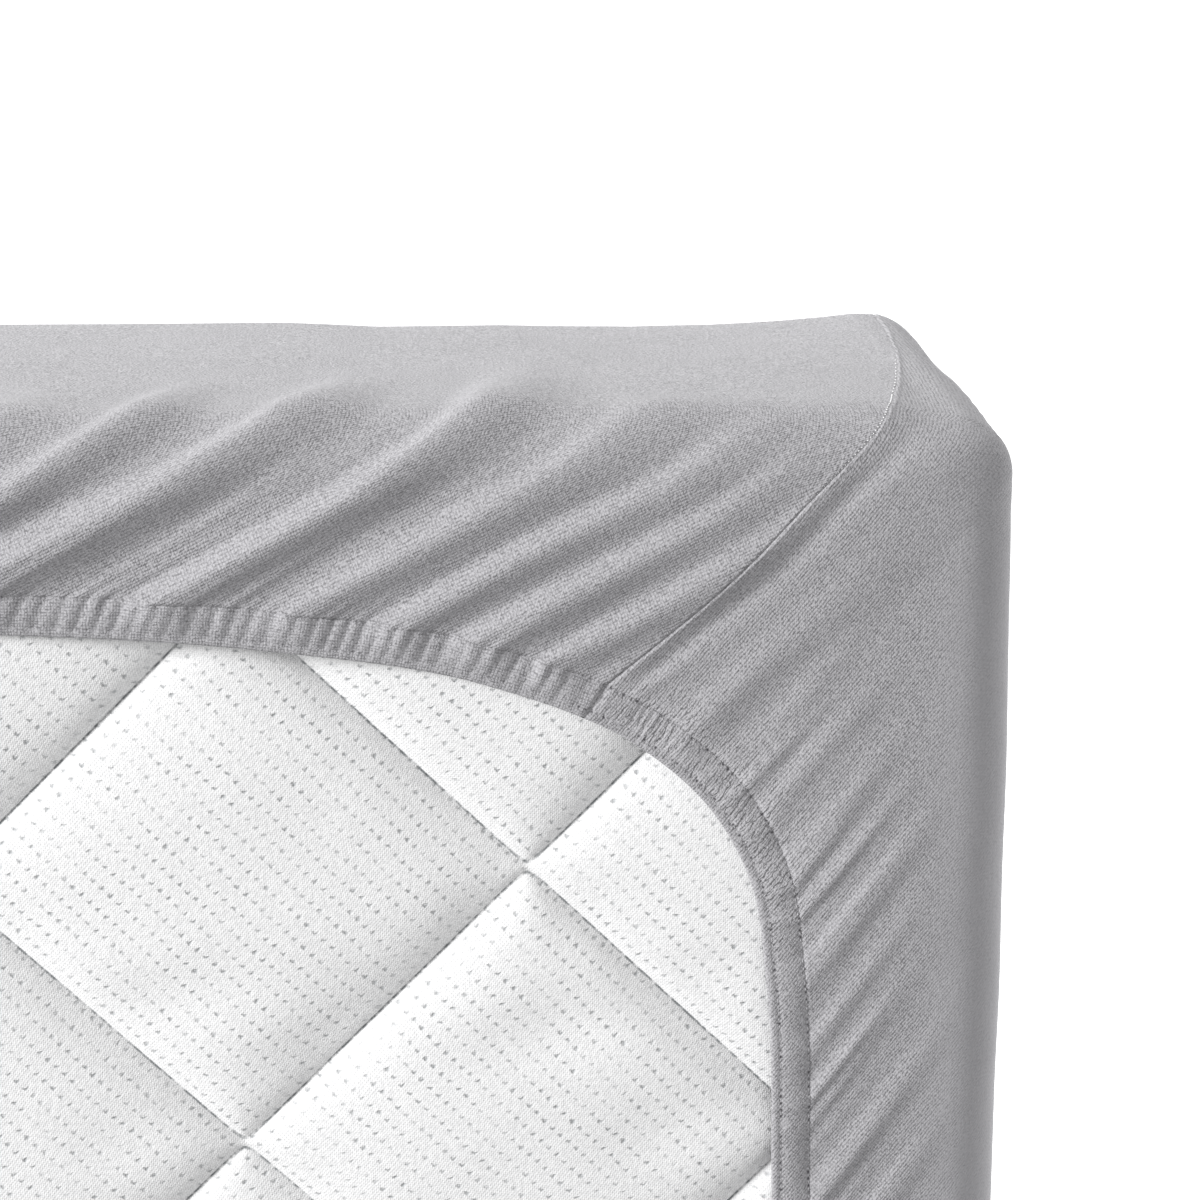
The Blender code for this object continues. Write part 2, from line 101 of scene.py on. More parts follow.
def ticking_height(s, t, x, y):
    """The height of the ticking over these places, where s and t count the quilting lines."""
    plump = np.random.default_rng(5).uniform(0.88, 1.1, (40, 40))
    puff = plump[np.floor(s).astype(int) + 12, np.floor(t).astype(int) + 16]
    away = from_stitches(s, t)
    up = 1 - np.exp(-away / PUFF_SPREAD)
    up = 0.85 * up + 0.15 * np.abs(np.sin(np.pi * s) * np.sin(np.pi * t))
    near = np.exp(-away / 13) * np.minimum(away / 4, 1)
    slack = 0.5 * uneven(x, y, 34 * MM, 11) + 0.35 * uneven(x, y, 17 * MM, 12)
    pucker = 0.9 * uneven(x, y, 19 * MM, 13) + 0.45 * uneven(x, y, 8 * MM, 14)
    height = SEWN_DEPTH * up**0.85 * (1 + (puff - 1) * up)
    height = height + MM * (slack * up + pucker * near)
    for spot_x, spot_y, depth, long, wide, way in SLUMPS:
        c, n = np.cos(np.radians(way)), np.sin(np.radians(way))
        along = ((x / MM - spot_x) * c + (y / MM - spot_y) * n) / long
        off = (-(x / MM - spot_x) * n + (y / MM - spot_y) * c) / wide
        height = height - depth * MM * np.exp(-(along**2) - off**2) * up
    pressed = RIM_PRESSED * np.clip((RIM_X - WIDTH / 2 + np.abs(x)) / RIM_EASE, 0, 1)
    return PUFF_TOP - SEWN_DEPTH + height - pressed


step = np.array(PUFF_STEPS) * MM / DIAMOND
step = np.concatenate([step, [0.5], 1 - step[:0:-1]])
s_lines = np.concatenate([k + step for k in range(-3, 11)])
t_lines = np.concatenate([k + step for k in range(-11, 3)])
s_grid, t_grid = np.meshgrid(s_lines, t_lines, indexing="ij")
x_grid = QUILT_HALF * (s_grid + t_grid)
y_grid = FIRST_CROSSING - QUILT_HALF * (s_grid - t_grid)
z_grid = ticking_height(s_grid, t_grid, x_grid, y_grid)
on_panel = (np.abs(x_grid) < PANEL_X) & (np.abs(y_grid) < PANEL_Y)
cell = on_panel[:-1, :-1] | on_panel[1:, :-1] | on_panel[1:, 1:] | on_panel[:-1, 1:]
number = np.arange(s_grid.size).reshape(s_grid.shape)
quads = np.stack([number[:-1, :-1], number[1:, :-1], number[1:, 1:], number[:-1, 1:]], axis=-1)
quads = quads[cell]
used, quads = np.unique(quads, return_inverse=True)
points = np.stack([x_grid, y_grid, z_grid], axis=-1).reshape(-1, 3)[used]
mattress_mesh = bpy.data.meshes.new("quilted_mattress")
mattress_mesh.from_pydata(points.tolist(), [], quads.reshape(-1, 4).tolist())
bm = bmesh.new()
bm.from_mesh(mattress_mesh)
for side_x, side_y in ((1, 0), (-1, 0), (0, 1), (0, -1), (1, 1), (1, -1), (-1, -1), (-1, 1)):
    reach = PANEL_X * abs(side_x) + PANEL_Y * abs(side_y) - PANEL_CORNER * abs(side_x * side_y)
    spot = (side_x * reach, 0, 0) if side_x else (0, side_y * reach, 0)
    everything = bm.verts[:] + bm.edges[:] + bm.faces[:]
    bmesh.ops.bisect_plane(
        bm, geom=everything, plane_co=spot, plane_no=(side_x, side_y, 0), clear_outer=True
    )

# The sides of the mattress, ring by ring outward over its shoulder and down to its foot
core_x = WIDTH / 2 - MATTRESS_INSET - MATTRESS_CORNER
core_y = LENGTH / 2 - MATTRESS_INSET - MATTRESS_CORNER
panel_x, panel_y = PANEL_X - PANEL_CORNER, PANEL_Y - PANEL_CORNER
side_rings = []
for turn in np.radians((0, 22.5, 45, 67.5, 90)):
    out = MATTRESS_CORNER - MATTRESS_SHOULDER * (1 - np.sin(turn))
    side_rings.append((out, PUFF_TOP - 4 * MM - MATTRESS_SHOULDER * (1 - np.cos(turn))))
for turn in np.radians((0, 30, 60, 90)):
    out = MATTRESS_CORNER - MATTRESS_FOOT * (1 - np.cos(turn))
    side_rings.append((out, MATTRESS_BOTTOM + MATTRESS_FOOT * (1 - np.sin(turn))))
rim = [edge for edge in bm.edges if edge.is_boundary]
half_x, half_y = panel_x, panel_y
for out, height in side_rings:
    made = bmesh.ops.extrude_edge_only(bm, edges=rim)["geom"]
    rim = [part for part in made if isinstance(part, bmesh.types.BMEdge)]
    for vertex in (part for part in made if isinstance(part, bmesh.types.BMVert)):
        x, y = vertex.co.x, vertex.co.y
        cx, cy = min(max(x, -half_x), half_x), min(max(y, -half_y), half_y)
        away = max(((x - cx) ** 2 + (y - cy) ** 2) ** 0.5, 1e-9)
        vertex.co.x = cx * core_x / half_x + (x - cx) / away * out
        vertex.co.y = cy * core_y / half_y + (y - cy) / away * out
        vertex.co.z = height
    half_x, half_y = core_x, core_y
bmesh.ops.holes_fill(bm, edges=[edge for edge in bm.edges if edge.is_boundary], sides=0)
bmesh.ops.recalc_face_normals(bm, faces=bm.faces)
bm.to_mesh(mattress_mesh)
bm.free()
mattress_mesh.shade_smooth()
spots = np.zeros(len(mattress_mesh.vertices) * 3, np.float32)
mattress_mesh.vertices.foreach_get("co", spots)
spots = spots.reshape(-1, 3)
lines_x, lines_y = spots[:, 0] / QUILT_HALF / 2, (FIRST_CROSSING - spots[:, 1]) / QUILT_HALF / 2
away = from_stitches(lines_x + lines_y, lines_x - lines_y)


def mark(mesh, **values):
    """Numbers kept on a mesh's points for its material to read."""
    for name, value in values.items():
        kept = mesh.attributes.new(name, "FLOAT", "POINT")
        kept.data.foreach_set("value", value.astype(np.float32))


mark(mattress_mesh, from_stitches=np.where(spots[:, 2] > PUFF_TOP - 9 * MM, away, 99))


def put(name, data):
    """A new object in the scene that holds this mesh, light or camera."""
    made = bpy.data.objects.new(name, data)
    bpy.context.scene.collection.objects.link(made)
    return made


def linear(colour):
    """An sRGB hex colour as linear red, green, blue and alpha."""
    parts = [int(colour[i : i + 2], 16) / 255 for i in (1, 3, 5)]
    return [p / 12.92 if p <= 0.04045 else ((p + 0.055) / 1.055) ** 2.4 for p in parts] + [1]


def new_material(name, constants):
    """A new material, its nodes and its shader, with these constants on the shader's sockets."""
    made = bpy.data.materials.new(name)
    made.use_nodes = True
    shader = made.node_tree.nodes["Principled BSDF"]
    for socket, value in constants.items():
        shader.inputs[socket].default_value = value
    return made, made.node_tree, shader


def add(tree, kind, inputs=(), out=0, **settings):
    """One output of a new node of this kind, with its inputs set or linked by name or in order."""
    kind, *operation = kind.split()
    made = tree.nodes.new("ShaderNode" + kind)
    if operation:
        made.operation = operation[0]
    for name, value in settings.items():
        setattr(made, name, value)
    for name, value in inputs.items() if isinstance(inputs, dict) else enumerate(inputs):
        if isinstance(value, bpy.types.NodeSocket):
            tree.links.new(value, made.inputs[name])
        else:
            made.inputs[name].default_value = value
    return made.outputs[out]


# Knitted polyester ticking: matt and near white. Its loops lie in fine slanting ribs, and a tuck
# stitch every few millimetres leaves a small dimple, painted grey with the shade in its hollow, so
# that it looks finely dotted.
# These are the steps between dimples along their two rows, mm, and the ribs in one millimetre.
DIMPLE_A, DIMPLE_B = (2.05, -2.12), (3.12, 3.75)
RIB_PER_MM = (1.01, -0.85)

ticking, tree, shader = new_material(
    "knitted_polyester_ticking",
    {"Roughness": 0.88, "Specular IOR Level": 0.25, "Sheen Weight": 0.15, "Sheen Roughness": 0.5},
)
where = add(tree, "TexCoord", out="Object")
drift = add(tree, "TexNoise", {"Vector": where, "Scale": 70, "Detail": 1}, "Color")
drift = add(tree, "VectorMath SUBTRACT", [drift, (0.5, 0.5, 0.5)])
drift = add(tree, "VectorMath SCALE", {0: drift, 3: 1.6 * MM})
spot = add(tree, "VectorMath ADD", [where, drift])
spread = DIMPLE_A[0] * DIMPLE_B[1] - DIMPLE_A[1] * DIMPLE_B[0]
off_x = off_y = 0
for step, turned in ((DIMPLE_A, (DIMPLE_B[1], -DIMPLE_B[0])), (DIMPLE_B, (-DIMPLE_A[1], DIMPLE_A[0]))):
    along = (turned[0] / spread / MM, turned[1] / spread / MM, 0)
    share = add(tree, "VectorMath DOT_PRODUCT", [spot, along], "Value")
    share = add(tree, "Math FRACT", [share])
    share = add(tree, "Math SUBTRACT", [share, 0.5])
    off_x = add(tree, "Math MULTIPLY_ADD", [share, step[0], off_x])
    off_y = add(tree, "Math MULTIPLY_ADD", [share, step[1], off_y])
bend = add(tree, "Math ABSOLUTE", [off_x])
off_y = add(tree, "Math MULTIPLY_ADD", [bend, -0.2, off_y])
ragged = add(tree, "TexNoise", {"Vector": where, "Scale": 900, "Detail": 0})
off_y = add(tree, "Math MULTIPLY_ADD", [ragged, 1.1, off_y])
off_y = add(tree, "Math MULTIPLY_ADD", [off_y, 1.45, -0.7])
off_x = add(tree, "Math MULTIPLY", [off_x, 0.8])
off = add(tree, "CombineXYZ", [off_x, off_y, 0])
off = add(tree, "VectorMath LENGTH", [off], "Value")
# Each dimple is dented by the bump below and also painted grey, as painted shade in its hollow
dimple_and_shade = add(tree, "MapRange", [off, 0.95, 0], interpolation_type="SMOOTHSTEP")
strength = add(tree, "TexNoise", {"Vector": where, "Scale": 90})
strength = add(tree, "MapRange", [strength, 0.36, 0.62, 0.35, 0.9])
dimple_and_shade = add(tree, "Math MULTIPLY", [dimple_and_shade, strength])
turns = [2 * np.pi * part / MM for part in RIB_PER_MM]
rib = add(tree, "VectorMath DOT_PRODUCT", [spot, (*turns, 0)], "Value")
rib = add(tree, "Math SINE", [rib])
course = add(tree, "VectorMath DOT_PRODUCT", [spot, (-turns[1], turns[0], 0)], "Value")
course = add(tree, "Math SINE", [course])
course = add(tree, "Math MULTIPLY_ADD", [course, 0.65, 0.35])
rib = add(tree, "Math MULTIPLY", [rib, course])
rib = add(tree, "Math MULTIPLY_ADD", [rib, 0.4, 0.33])
fuzz = add(tree, "TexNoise", {"Vector": where, "Scale": 1000, "Detail": 1})
fuzz = add(tree, "MapRange", [fuzz, 0.35, 0.65])
grain = add(tree, "Math MULTIPLY_ADD", [fuzz, 0.34, rib])
# Painted shade: a thin dark line in the crease along the quilting stitches, broken up here and there
away = add(tree, "Attribute", out="Fac", attribute_name="from_stitches")
stitch_line_shade = add(tree, "MapRange", [away, 0.5, 0.15])
shade_breaks = add(tree, "TexNoise", {"Vector": where, "Scale": 620, "Detail": 1})
shade_breaks = add(tree, "MapRange", [shade_breaks, 0.35, 0.6, 0.15, 1])
stitch_line_shade = add(tree, "Math MULTIPLY", [stitch_line_shade, shade_breaks])
colour = linear("#D8D8D9")
for share, over in ((grain, "#FFFFFF"), (dimple_and_shade, "#A6A9AB"), (stitch_line_shade, "#85888A")):
    colour = add(tree, "Mix", {"Factor": share, 6: colour, 7: linear(over)}, 2, data_type="RGBA")
tree.links.new(colour, shader.inputs["Base Color"])
relief = 0
for share, weight in ((grain, 0.12), (dimple_and_shade, -0.4)):
    relief = add(tree, "Math MULTIPLY_ADD", [share, weight, relief])
raised = add(tree, "Bump", {"Height": relief, "Strength": 0.85, "Distance": MM})
tree.links.new(raised, shader.inputs["Normal"])
mattress_mesh.materials.append(ticking)
mattress = put("quilted_mattress", mattress_mesh)
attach(mattress, "root")
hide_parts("mattress")


# The sheet's cloth. One piece of grey cotton jersey: the sleeping panel on the ground, a wall
# up each side, and a flap that turns in over the underside. The hem's elastic draws the flap in,
# so folds run from it toward each corner, where the walls are joined by a seam.

FLAP_TOP = 151 * MM
GROUND_EDGE = 8 * MM
LONG_SHOULDER, SHORT_SHOULDER = 15 * MM, 18 * MM
CORNER_FOOT = 19 * MM
CORNER_TOP = 12 * MM
CORNER_PULL = 4 * MM
PULL_REACH = 41 * MM
SEAM_FROM_ARC = 25 * MM
LEAN_FADE = 60 * MM
FAN_FROM_MIDDLE = 45 * MM
JERSEY_THICK = 1 * MM
# The hem's outer stitch row in one corner, mm in from the long edge and from the short edge
STITCH_ROW = (
    (350, 41), (256, 42), (191, 47.5), (134, 58), (95, 75), (71, 97), (59.5, 119), (54.5, 150),
    (52.4, 208), (50, 400), (48, 660),
)
SEAM_ON_ROW = (109, 68)
# The folds on each side of a corner seam, mm from it: where the crest starts at the hem and
# where it runs at 20 and 40 mm across, its height, its half widths there, and its reach
SHORT_SIDE_FOLDS = (
    # start, at 20, at 40, height, half, half at 40, reach
    (14, 3, -6, 2.8, 8, 9.5, 54),
    (28, 25, 22, 0.7, 3, 3, 10),
    (33, 23, 12, 3.7, 11, 10.5, 60),
    (54, 45, 31, 3.7, 10.5, 14, 66),
    (79, 71, 60, 3.9, 11.5, 18, 76),
    (96, 92, 88, 0.9, 4, 4, 15),
    (113, 106, 98.5, 5.3, 14, 16, 110),
    (134, 127, 127, 0.5, 6, 6, 50),
    (163, 153, 142, 5.6, 19, 16, 96),
    (191, 182, 173, 4.3, 13, 11.5, 92),
    (216, 208, 199, 3.4, 12, 12.5, 84),
    (242, 234, 224, 3.5, 12, 13, 90),
    (268, 258, 247, 2.6, 12, 13, 76),
    (297, 288, 278, 3, 12, 13, 84),
    (325, 317, 308, 2.2, 11, 12, 70),
)
LONG_SIDE_FOLDS = (
    # start, at 20, at 40, height, half, half at 40, reach
    (8.5, 18, 24, 0.5, 3.5, 4, 18),
    (28, 29, 33.5, 1.35, 8.5, 9.5, 56),
    (48, 44, 40, 1, 7, 7, 34),
    (58.5, 58, 63, 1.05, 6, 7.5, 35),
    (77.5, 76, 81, 1.05, 6.5, 7.5, 33),
    (86, 89.5, 94, 0.8, 5, 6, 30),
    (105.5, 107, 110, 1.55, 8, 9.5, 36),
    (125, 126, 128.5, 1.05, 7, 7.5, 30),
    (138, 144, 151, 1, 6.5, 7.5, 30),
    (145, 149.5, 154, 0.5, 4, 4, 18),
    (169.5, 171.5, 175, 1.65, 9.5, 11, 38),
)
# Past those, the long side's folds go on in this uneven order
LONG_SIDE_ORDER = (
    # step, lean in 40 mm, height, half width, reach
    (27, 5, 1.7, 9, 36),
    (34, 3, 2.2, 11, 42),
    (22, 7, 1.2, 6.5, 30),
    (31, 4, 1.9, 10, 40),
    (38, 3, 1.5, 9.5, 44),
    (24, 6, 2.1, 8.5, 36),
    (33, 4, 1.4, 9, 38),
)
# Across the cloth, mm, and how far each corner seam hangs toward the long side there
SEAM_PATH = (
    (0, 2.2), (5, 2.9), (11, 3.8), (19, 4.6), (28, 5), (36, 5), (46, 4.5), (56, 4.5), (65, 5),
    (72, 5.4), (80, 6.8), (95, 11), (104, 13.5), (125, 18.6), (150, 23.7), (178, 27.1), (209, 28.2),
)
# The flap ends about this far across. On the wall below it the seam hangs over by at most this,
# mm, and leans round its corner by the rest.
FLAP_ENDS, HANGS_ON_WALL = 60 * MM, 5
# The four corners clockwise from the photographed one: pull, and the folds' place and height
CORNERS = ((1.00, 1.00, 1.00), (0.95, 1.05, 0.92), (1.04, 0.96, 1.08), (0.97, 0.94, 0.96))
# Along from the photographed corner's arc, mm, and how far the short wall's foot stands out there
FOOT_WAVE = (
    (-340, 0.4), (-258, 1.5), (-175, 1), (-147, -0.3), (-110, -0.3), (-71, -1.8), (-48, -1.4),
    (-26, -0.3), (-13, 0.7), (-5, 1.6), (3, 1.4), (11, 0), (22, 0.8), (40, 0),
)


def outline(place, inset, radius, pull):
    """Points and outward directions at these places, 0 to 8: each arc and each side counts 1."""
    place = place % 8
    radius = radius + place * 0
    span = np.floor(place).astype(int)
    share = place - span
    corner = span // 2
    on_side = span % 2 == 1
    ends = []
    for turn in (0, 1):
        index = (corner + turn) % 4
        side_x = np.where(index < 2, 1, -1)
        side_y = np.where((index == 0) | (index == 3), 1, -1)
        half_x = WIDTH / 2 - inset - radius
        half_y = LENGTH / 2 - inset - radius
        ends.append(np.stack([side_x * half_x, side_y * half_y], axis=1))
    angle = np.radians(90 - 90 * (corner + np.where(on_side, 1, share)))
    outward = np.stack([np.cos(angle), np.sin(angle)], axis=1)
    slide = np.where(on_side, share, 0)[:, None]
    spots = ends[0] * (1 - slide) + ends[1] * slide + radius[:, None] * outward
    tip = np.copysign(1, spots) * (WIDTH / 2, LENGTH / 2)
    drawn_in = pull * np.exp(-np.linalg.norm(tip - spots, axis=1) / PULL_REACH)
    return spots - np.sign(spots) * (drawn_in / 2**0.5)[:, None], outward


ARC = np.pi / 2 * CORNER_TOP
SPANS = np.array([ARC, LENGTH - 2 * CORNER_TOP, ARC, WIDTH - 2 * CORNER_TOP] * 2)
STOPS = np.concatenate([[0], np.cumsum(SPANS)])


def place_of(distance):
    """The place, 0 to 8, at this distance round the outline."""
    return np.interp(distance % STOPS[-1], STOPS, np.arange(9))


def corner_point(corner, from_long, from_short):
    """The point this far in, mm, from the long and the short edge at one corner."""
    side_x = 1 if corner < 2 else -1
    side_y = 1 if corner in (0, 3) else -1
    return side_x * (WIDTH / 2 - from_long * MM), side_y * (LENGTH / 2 - from_short * MM)


# The stitch row all the way round, clockwise from the middle of the +Y side
knots = []
for corner, (pull, _, _) in enumerate(CORNERS):
    rows = STITCH_ROW if corner % 2 == 0 else STITCH_ROW[::-1]
    for from_long, from_short in rows[:-1]:
        middle = from_long == STITCH_ROW[0][0] or from_short == STITCH_ROW[-1][1]
        k = 1 if middle else pull
        k_long, k_short = (k, 1) if from_long < from_short else (1, k)
        knots.append(corner_point(corner, from_long * k_long, from_short * k_short))
knots = np.array(knots)
after = np.roll(knots, -1, axis=0)
step_in = np.linalg.norm(knots - np.roll(knots, 1, axis=0), axis=1)[:, None]
step_out = np.linalg.norm(after - knots, axis=1)[:, None]
slope_in = (knots - np.roll(knots, 1, axis=0)) / step_in
slope_out = (after - knots) / step_out
tangent = (slope_in * step_out + slope_out * step_in) / (step_in + step_out)
t = (np.arange(60) / 60)[None, :, None]
leave = (tangent * step_out)[:, None]
arrive = (np.roll(tangent, -1, axis=0) * step_out)[:, None]
row_points = (
    knots[:, None] * (2 * t**3 - 3 * t**2 + 1)
    + leave * (t**3 - 2 * t**2 + t)
    + after[:, None] * (3 * t**2 - 2 * t**3)
    + arrive * (t**3 - t**2)
).reshape(-1, 2)
row_points = np.concatenate([row_points, row_points[:1]])
row_along = np.concatenate([[0], np.cumsum(np.linalg.norm(np.diff(row_points, axis=0), axis=1))])
ROUND = row_along[-1]


def unit(ways):
    """These directions with a length of 1."""
    return ways / np.linalg.norm(ways, axis=-1, keepdims=True)


def along_line(distance, run, points):
    """The points at these distances along a line of points, which lie this far along it."""
    return np.stack([np.interp(distance, run, column) for column in points.T], axis=1)


def stitch_row(distance):
    """Points on the stitch row, with the directions that point out of the mouth."""
    before, here, after = (
        along_line((distance + step) % ROUND, row_along, row_points) for step in (-2 * MM, 0, 2 * MM)
    )
    way = unit(after - before)
    return here, np.stack([-way[:, 1], way[:, 0]], axis=1)


# Where the middles of the sides and the corner seams lie, on the stitch row and on the outline
row_stops = [0]
middles = ((WIDTH / 2, 0), (0, -LENGTH / 2), (-WIDTH / 2, 0), (0, LENGTH / 2))
for corner, (pull, _, _) in enumerate(CORNERS):
    seam = np.array(corner_point(corner, SEAM_ON_ROW[0], SEAM_ON_ROW[1] * pull))
    row_stops.append(row_along[np.argmin(np.linalg.norm(row_points - seam, axis=1))])
    from_middle = np.linalg.norm(row_points[1:] - np.array(middles[corner]), axis=1)
    row_stops.append(row_along[np.argmin(from_middle) + 1])
row_stops = np.array(row_stops)
row_stops[-1] = ROUND
outline_stops = np.array(
    [
        -SPANS[3] / 2,
        -SEAM_FROM_ARC,
        STOPS[1] + SPANS[1] / 2,
        STOPS[3] + SEAM_FROM_ARC,
        STOPS[3] + SPANS[3] / 2,
        STOPS[4] - SEAM_FROM_ARC,
        STOPS[5] + SPANS[5] / 2,
        STOPS[7] + SEAM_FROM_ARC,
        STOPS[8] - SPANS[3] / 2,
    ]
)


def middles_of(stops, corner):
    """Where the middles of this corner's short and long side lie, of the stops on one line."""
    before, after = stops[2 * corner], stops[2 * corner + 2]
    return (before, after) if corner % 2 == 0 else (after, before)


def fanned(distance):
    """The distance round the outline that a fold from this place on the stitch row reaches."""
    reached = np.empty_like(distance)
    for i in range(8):
        low, high = row_stops[i], row_stops[i + 1]
        middle = i if i % 2 == 0 else i + 1
        seam = i + 1 if i % 2 == 0 else i
        length = high - low
        spread = abs(outline_stops[seam] - outline_stops[middle]) - length
        away = np.abs(distance - row_stops[middle])
        eased = (1 - np.exp(-away / FAN_FROM_MIDDLE)) / (1 - np.exp(-length / FAN_FROM_MIDDLE))
        sign = np.sign(outline_stops[seam] - outline_stops[middle])
        inside = (distance >= low) & (distance <= high)
        reached = np.where(inside, outline_stops[middle] + sign * (away + spread * eased), reached)
    return reached


def from_seams(distance):
    """The nearest corner seam, and the distance from it, over 0 on the long side."""
    seams = row_stops[1::2]
    nearest = np.argmin(np.abs(distance[:, None] - seams[None]), axis=1)
    to_long = np.where(nearest % 2 == 0, 1, -1)
    return nearest, (distance - seams[nearest]) * to_long, to_long


def hangs_over(across):
    """How far the corner seams hang over this far across, and how far they lean round the corner."""
    over = np.interp(across / MM, *zip(*SEAM_PATH))
    hang = np.where(across < FLAP_ENDS, over, np.minimum(over, HANGS_ON_WALL))
    return hang * MM, (over - hang) * MM


def leaned(reached, lean_by):
    """The place on the outline lower down the wall, where each seam leans round its corner."""
    moved = np.array(reached)
    for corner in range(4):
        seam = outline_stops[2 * corner + 1]
        middle, _ = middles_of(outline_stops, corner)
        half_side = abs(seam - middle)
        to_long = np.sign(seam - middle)
        past = (reached - seam) * to_long
        lean = to_long * lean_by
        on_short = (past <= 0) & (past >= -half_side)
        moved = np.where(on_short, reached + lean * (1 + past / half_side), moved)
        on_long = (past > 0) & (past < 5 * LEAN_FADE)
        moved = np.where(on_long, reached + lean * np.exp(-past / LEAN_FADE), moved)
    return moved


# Every fold all the way round: its crest at the hem, at half of FOLD_END and at FOLD_END across,
# its height, its half widths and its reach, mm, and which of its sides is the steeper
FOLD_END = 40
STEEPER = 0.33
folds = []
for corner, (_, place, height) in enumerate(CORNERS):
    seam = row_stops[2 * corner + 1]
    short_middle, long_middle = middles_of(row_stops, corner)
    to_short = np.sign(short_middle - seam)
    half_short, half_long = abs(short_middle - seam), abs(long_middle - seam)
    for start, mid, end, rise, half, half_end, reach in SHORT_SIDE_FOLDS:
        if start * place * MM < half_short - 6 * MM:
            crest = [seam + to_short * (start * (place - 1) + spot) * MM for spot in (start, mid, end)]
            folds.append((crest, rise * height, half, half_end, reach, STEEPER * to_short))
    for start, mid, end, rise, half, half_end, reach in LONG_SIDE_FOLDS:
        crest = [seam - to_short * (start * (place - 1) + spot) * MM for spot in (start, mid, end)]
        folds.append((crest, rise * height, half, half_end, reach, 0))
    run = LONG_SIDE_FOLDS[-1][0] * place
    step = 2 * corner
    while True:
        gap, lean, rise, half, reach = LONG_SIDE_ORDER[step % len(LONG_SIDE_ORDER)]
        run += gap * place
        if run * MM > half_long - 12 * MM:
            break
        crest = [seam - to_short * (run + lean * part) * MM for part in (0, 0.5, 1)]
        folds.append((crest, rise * height, half, half * 1.15, reach, 0))
        step += 1
# Between them, small creases that the gathers leave
chance = np.random.default_rng(21)
for at in np.arange(6 * MM, ROUND, 11 * MM):
    spot = at + chance.uniform(-4, 4) * MM
    side = from_seams(np.array([spot]))[1][0]
    lean = (5 if side > 0 else 16) * chance.uniform(0.6, 1.3) * MM
    crest = [spot, spot + lean / 2, spot + lean]
    rise, half, reach = (chance.uniform(*limits) for limits in ((0.2, 0.7), (2.5, 4.5), (12, 32)))
    folds.append((crest, rise, half, 5, reach, 0))


def ridge(share):
    """A fold's profile: 1 on its crest, 0 from one half width away."""
    return np.where(np.abs(share) < 1, np.cos(np.pi / 2 * share) ** 2, 0)


def fold_height(q, across):
    """How high the folds stand at these places round and across the cloth."""
    total = np.zeros_like(q)
    far = across / MM
    for crest, rise, half, half_end, reach, steeper in folds:
        start, mid, end = crest
        curve = 2 * (start - 2 * mid + end)
        part = np.minimum(far / FOLD_END, 1)
        at = start + (4 * mid - 3 * start - end) * part + curve * part**2
        at = at + (end - mid) * np.clip(far / FOLD_END - 1, 0, 1) * 1.1
        away = (q - at + ROUND / 2) % ROUND - ROUND / 2
        wide = (half + (half_end - half) * np.minimum(far / FOLD_END, 1.8)) * MM
        wide = wide * (1 - steeper * np.sign(away))
        opened = 0.7 + 0.3 * np.minimum(far / 12, 1)
        fade = np.maximum(1 - (far / reach) ** 2, 0) ** 1.2
        total += rise * MM * opened * fade * ridge(away / wide)
    return total


# The gathers. Between its two stitch rows the elastic draws the casing into ribs: plain and deep
# on the short sides, small and close past the corner, and nearly flat down the long sides.

# The ribs' mean height, as a share of the whole
RIB_MEAN = 0.62
# Over from the seam, mm, and how strongly the ribs stand there
RIB_STRENGTH = (
    (-330, 0.55), (-262, 0.5), (-230, 0.8), (-8, 0.84), (1, 0.38), (14, 0.42), (60, 0.42), (90, 0.25),
    (130, 0.12),
)
rib_q = np.arange(0, ROUND, 0.25 * MM)
_, rib_side, _ = from_seams(rib_q)
rib_pitch = np.interp(rib_side / MM, (-20, 1, 5, 90, 130), (5, 5, 2.1, 2.3, 3)) * MM
rib_pitch *= 1 + 0.25 * uneven(rib_q, rib_q * 0, 11 * MM, 31, 256)
rib_phase = np.cumsum(0.25 * MM / rib_pitch)
rib_phase *= round(rib_phase[-1]) / rib_phase[-1]


def gathers(q):
    """The ribs' height from 0 to 1 and how strongly they stand at these places."""
    phase = np.interp(q % ROUND, rib_q, rib_phase)
    _, side, _ = from_seams(q % ROUND)
    strong = np.interp(side / MM, *zip(*RIB_STRENGTH))
    bunched = np.interp(side / MM, (-5, 10), (0.3, 0.75))
    strong = strong * (1 + bunched * uneven(q, q * 0, 9 * MM, 32, 256))
    return np.abs(np.sin(np.pi * phase)) ** 0.9, strong


def wrinkled(side):
    """How strongly small sharp wrinkles show beside the hem, from 0 to 1, at these places."""
    return np.interp(side / MM, (0, 7, 20, 78, 105, 140), (0, 0.7, 1, 1, 0.3, 0))


def seam_relief(side, across):
    """The stitched edge beside the seam, the crease along it and the slack past it, mm."""
    crease = np.interp(across / MM, (0, 50, 75, 200), (0.65, 0.5, 0.12, 0.1))
    edge = 0.18 * np.exp(-(((side - 1) / 0.6) ** 2)) - crease * np.exp(-((side / 0.3) ** 2))
    slack_at = 4 + 4.5 * np.minimum(across / (45 * MM), 1)
    slack = -1.3 * np.exp(-(((side - slack_at) / 4.4) ** 2)) * (1 - np.exp(-side.clip(0) / 2))
    far = np.minimum(across / (8 * MM), 1) * np.clip((84 * MM - across) / (30 * MM), 0, 1)
    return (edge + slack * far) * MM


def foot_wave(reached):
    """How far the wall stands out at the ground, at these distances round the outline."""
    wave = 1.1 * uneven(reached, reached * 0, 55 * MM, 41, 256)
    near = reached / MM
    shown = np.interp(near, *zip(*FOOT_WAVE))
    blend = np.clip((near + 340) / 40, 0, 1) * np.clip((60 - near) / 40, 0, 1)
    return (wave * (1 - blend) + shown * blend) * MM


